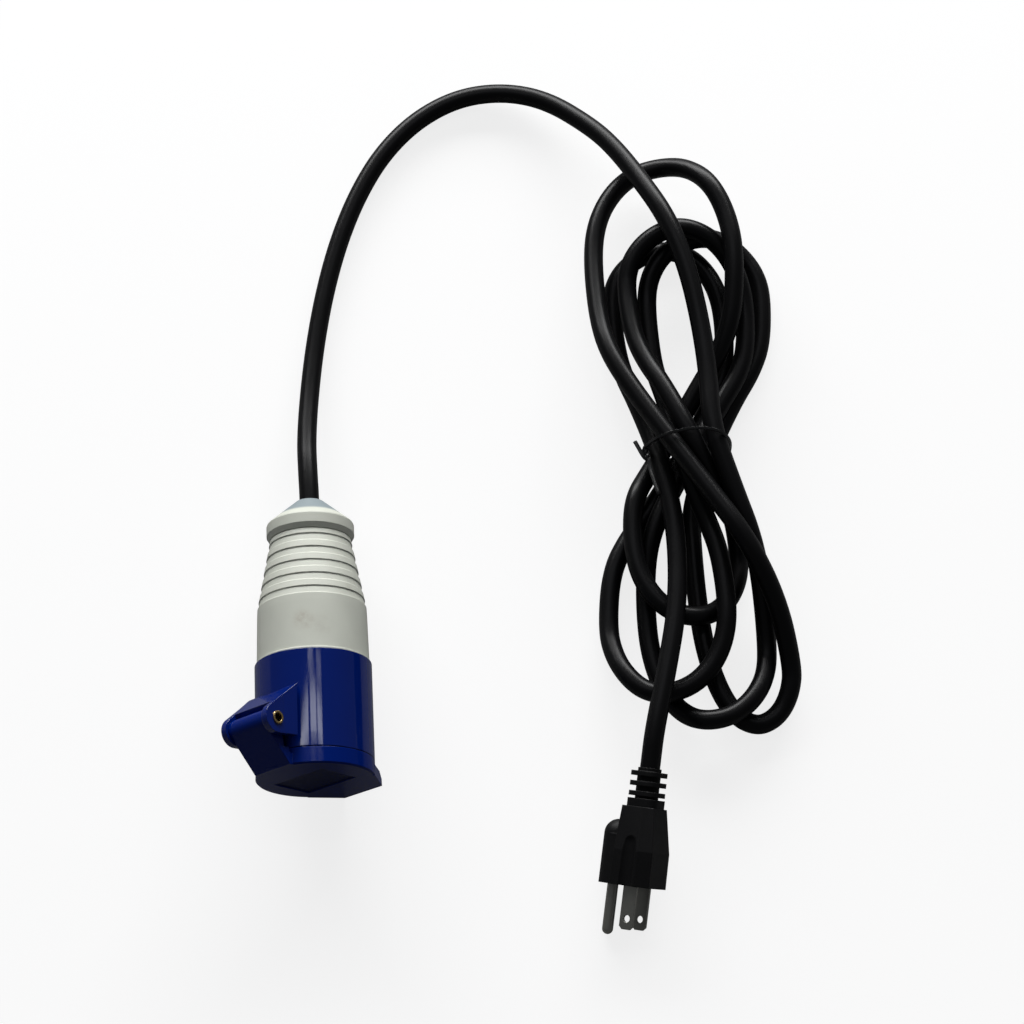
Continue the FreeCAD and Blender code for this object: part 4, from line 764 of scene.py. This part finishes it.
# %% [markdown]
# ## World and lamps
#
# The picture was lit by a window low beyond the cord: what faces it is bright, the top of the grip
# is a middle grey, and the lid's face is nearly dark. A large soft panel stands there. The room
# itself is dim, and that keeps the blue deep and the cord black.

# %% A lamp panel
def panel(name, place, aim, width, length, brightness, colour=(1, 1, 1)):
    """A rectangular lamp that shines from a place towards an aim, its length upright or along Y.

    Brightness is its radiance: the watts are pi times radiance times area.
    """
    lamp = bpy.data.lights.new(name, "AREA")
    lamp.shape = "RECTANGLE"
    lamp.size = width
    lamp.size_y = length
    lamp.energy = math.pi * brightness * width * length
    lamp.color = colour
    thing = bpy.data.objects.new(name, lamp)
    back = (Vector(place) - Vector(aim)).normalized()
    across = Vector((1, 0, 0))
    across = (across - back * across.dot(back)).normalized()
    thing.matrix_world = (Matrix.Translation(place)
                          @ Matrix((across, back.cross(across), back)).transposed().to_4x4())
    bpy.context.scene.collection.objects.link(thing)
    print("lamp %s, %.2f W" % (name, lamp.energy))


# %% World and window
ROOM_COLOUR = (0.93, 0.95, 1.0, 1)
ROOM_LIGHT = 0.09
WINDOW_PLACE = (0.06, 2.9, 1.09)
WINDOW_AIM = (0.06, 0.05, 0.02)
WINDOW_SIZE = (4.0, 1.25)
WINDOW_BRIGHTNESS = 10.8

world = bpy.data.worlds.new("studio")
world.use_nodes = True
bpy.context.scene.world = world
sky = world.node_tree.nodes["Background"]
sky.inputs["Color"].default_value = ROOM_COLOUR
wire(world.node_tree, (seen_level(world.node_tree, 1.0, ROOM_LIGHT, ROOM_LIGHT),
                       sky.inputs["Strength"]))
panel("window", WINDOW_PLACE, WINDOW_AIM, *WINDOW_SIZE, WINDOW_BRIGHTNESS)

# %% [markdown]
# ## Streaks on the sleeve
#
# The glossy sleeve mirrors a few pale streaks that run along it. Narrow panels overhead give them.
# Each is placed by what it shows in the sleeve: two angles across the sleeve bound its width, and
# two slopes along Y bound where the streak begins and ends.

# %% Streak panels
SLEEVE_TOP = Vector((6.0, -30.0, 50.0)) * MM
PANEL_HEIGHT = 1.5
STREAK_COLOUR = (0.92, 0.94, 1.0)
STREAKS = {  # the two angles across, the two slopes along, and the brightness
    "streak_left": (-25, -8, 20.5, 22.5, 5),
    "streak_middle": (-4, 7.5, 20.5, 22.5, 5),
    "streak_right": (9.5, 19, 20.5, 22.5, 5),
    "streak_far_middle": (-7, 3, 23.35, 23.8, 5),
    "streak_far_right": (9.5, 19, 23.35, 23.8, 4),
}


def overhead(name, low, high, begin, end, brightness):
    """A panel over the sleeve, seen in it between two angles and two slopes, all in degrees."""
    left, right, near, far = (math.tan(math.radians(v)) * PANEL_HEIGHT
                              for v in (low, high, begin, end))
    middle = SLEEVE_TOP + Vector(((left + right) / 2, (near + far) / 2, PANEL_HEIGHT))
    panel(name, middle, middle - Vector((0, 0, 1)), right - left, far - near, brightness,
          STREAK_COLOUR)


for name, bounds in STREAKS.items():
    overhead(name, *bounds)

# %% [markdown]
# ## Colour management
#
# The Standard view shows a colour as it is written.

# %% Finish
bpy.context.scene.view_settings.view_transform = "Standard"
bpy.context.view_layer.update()
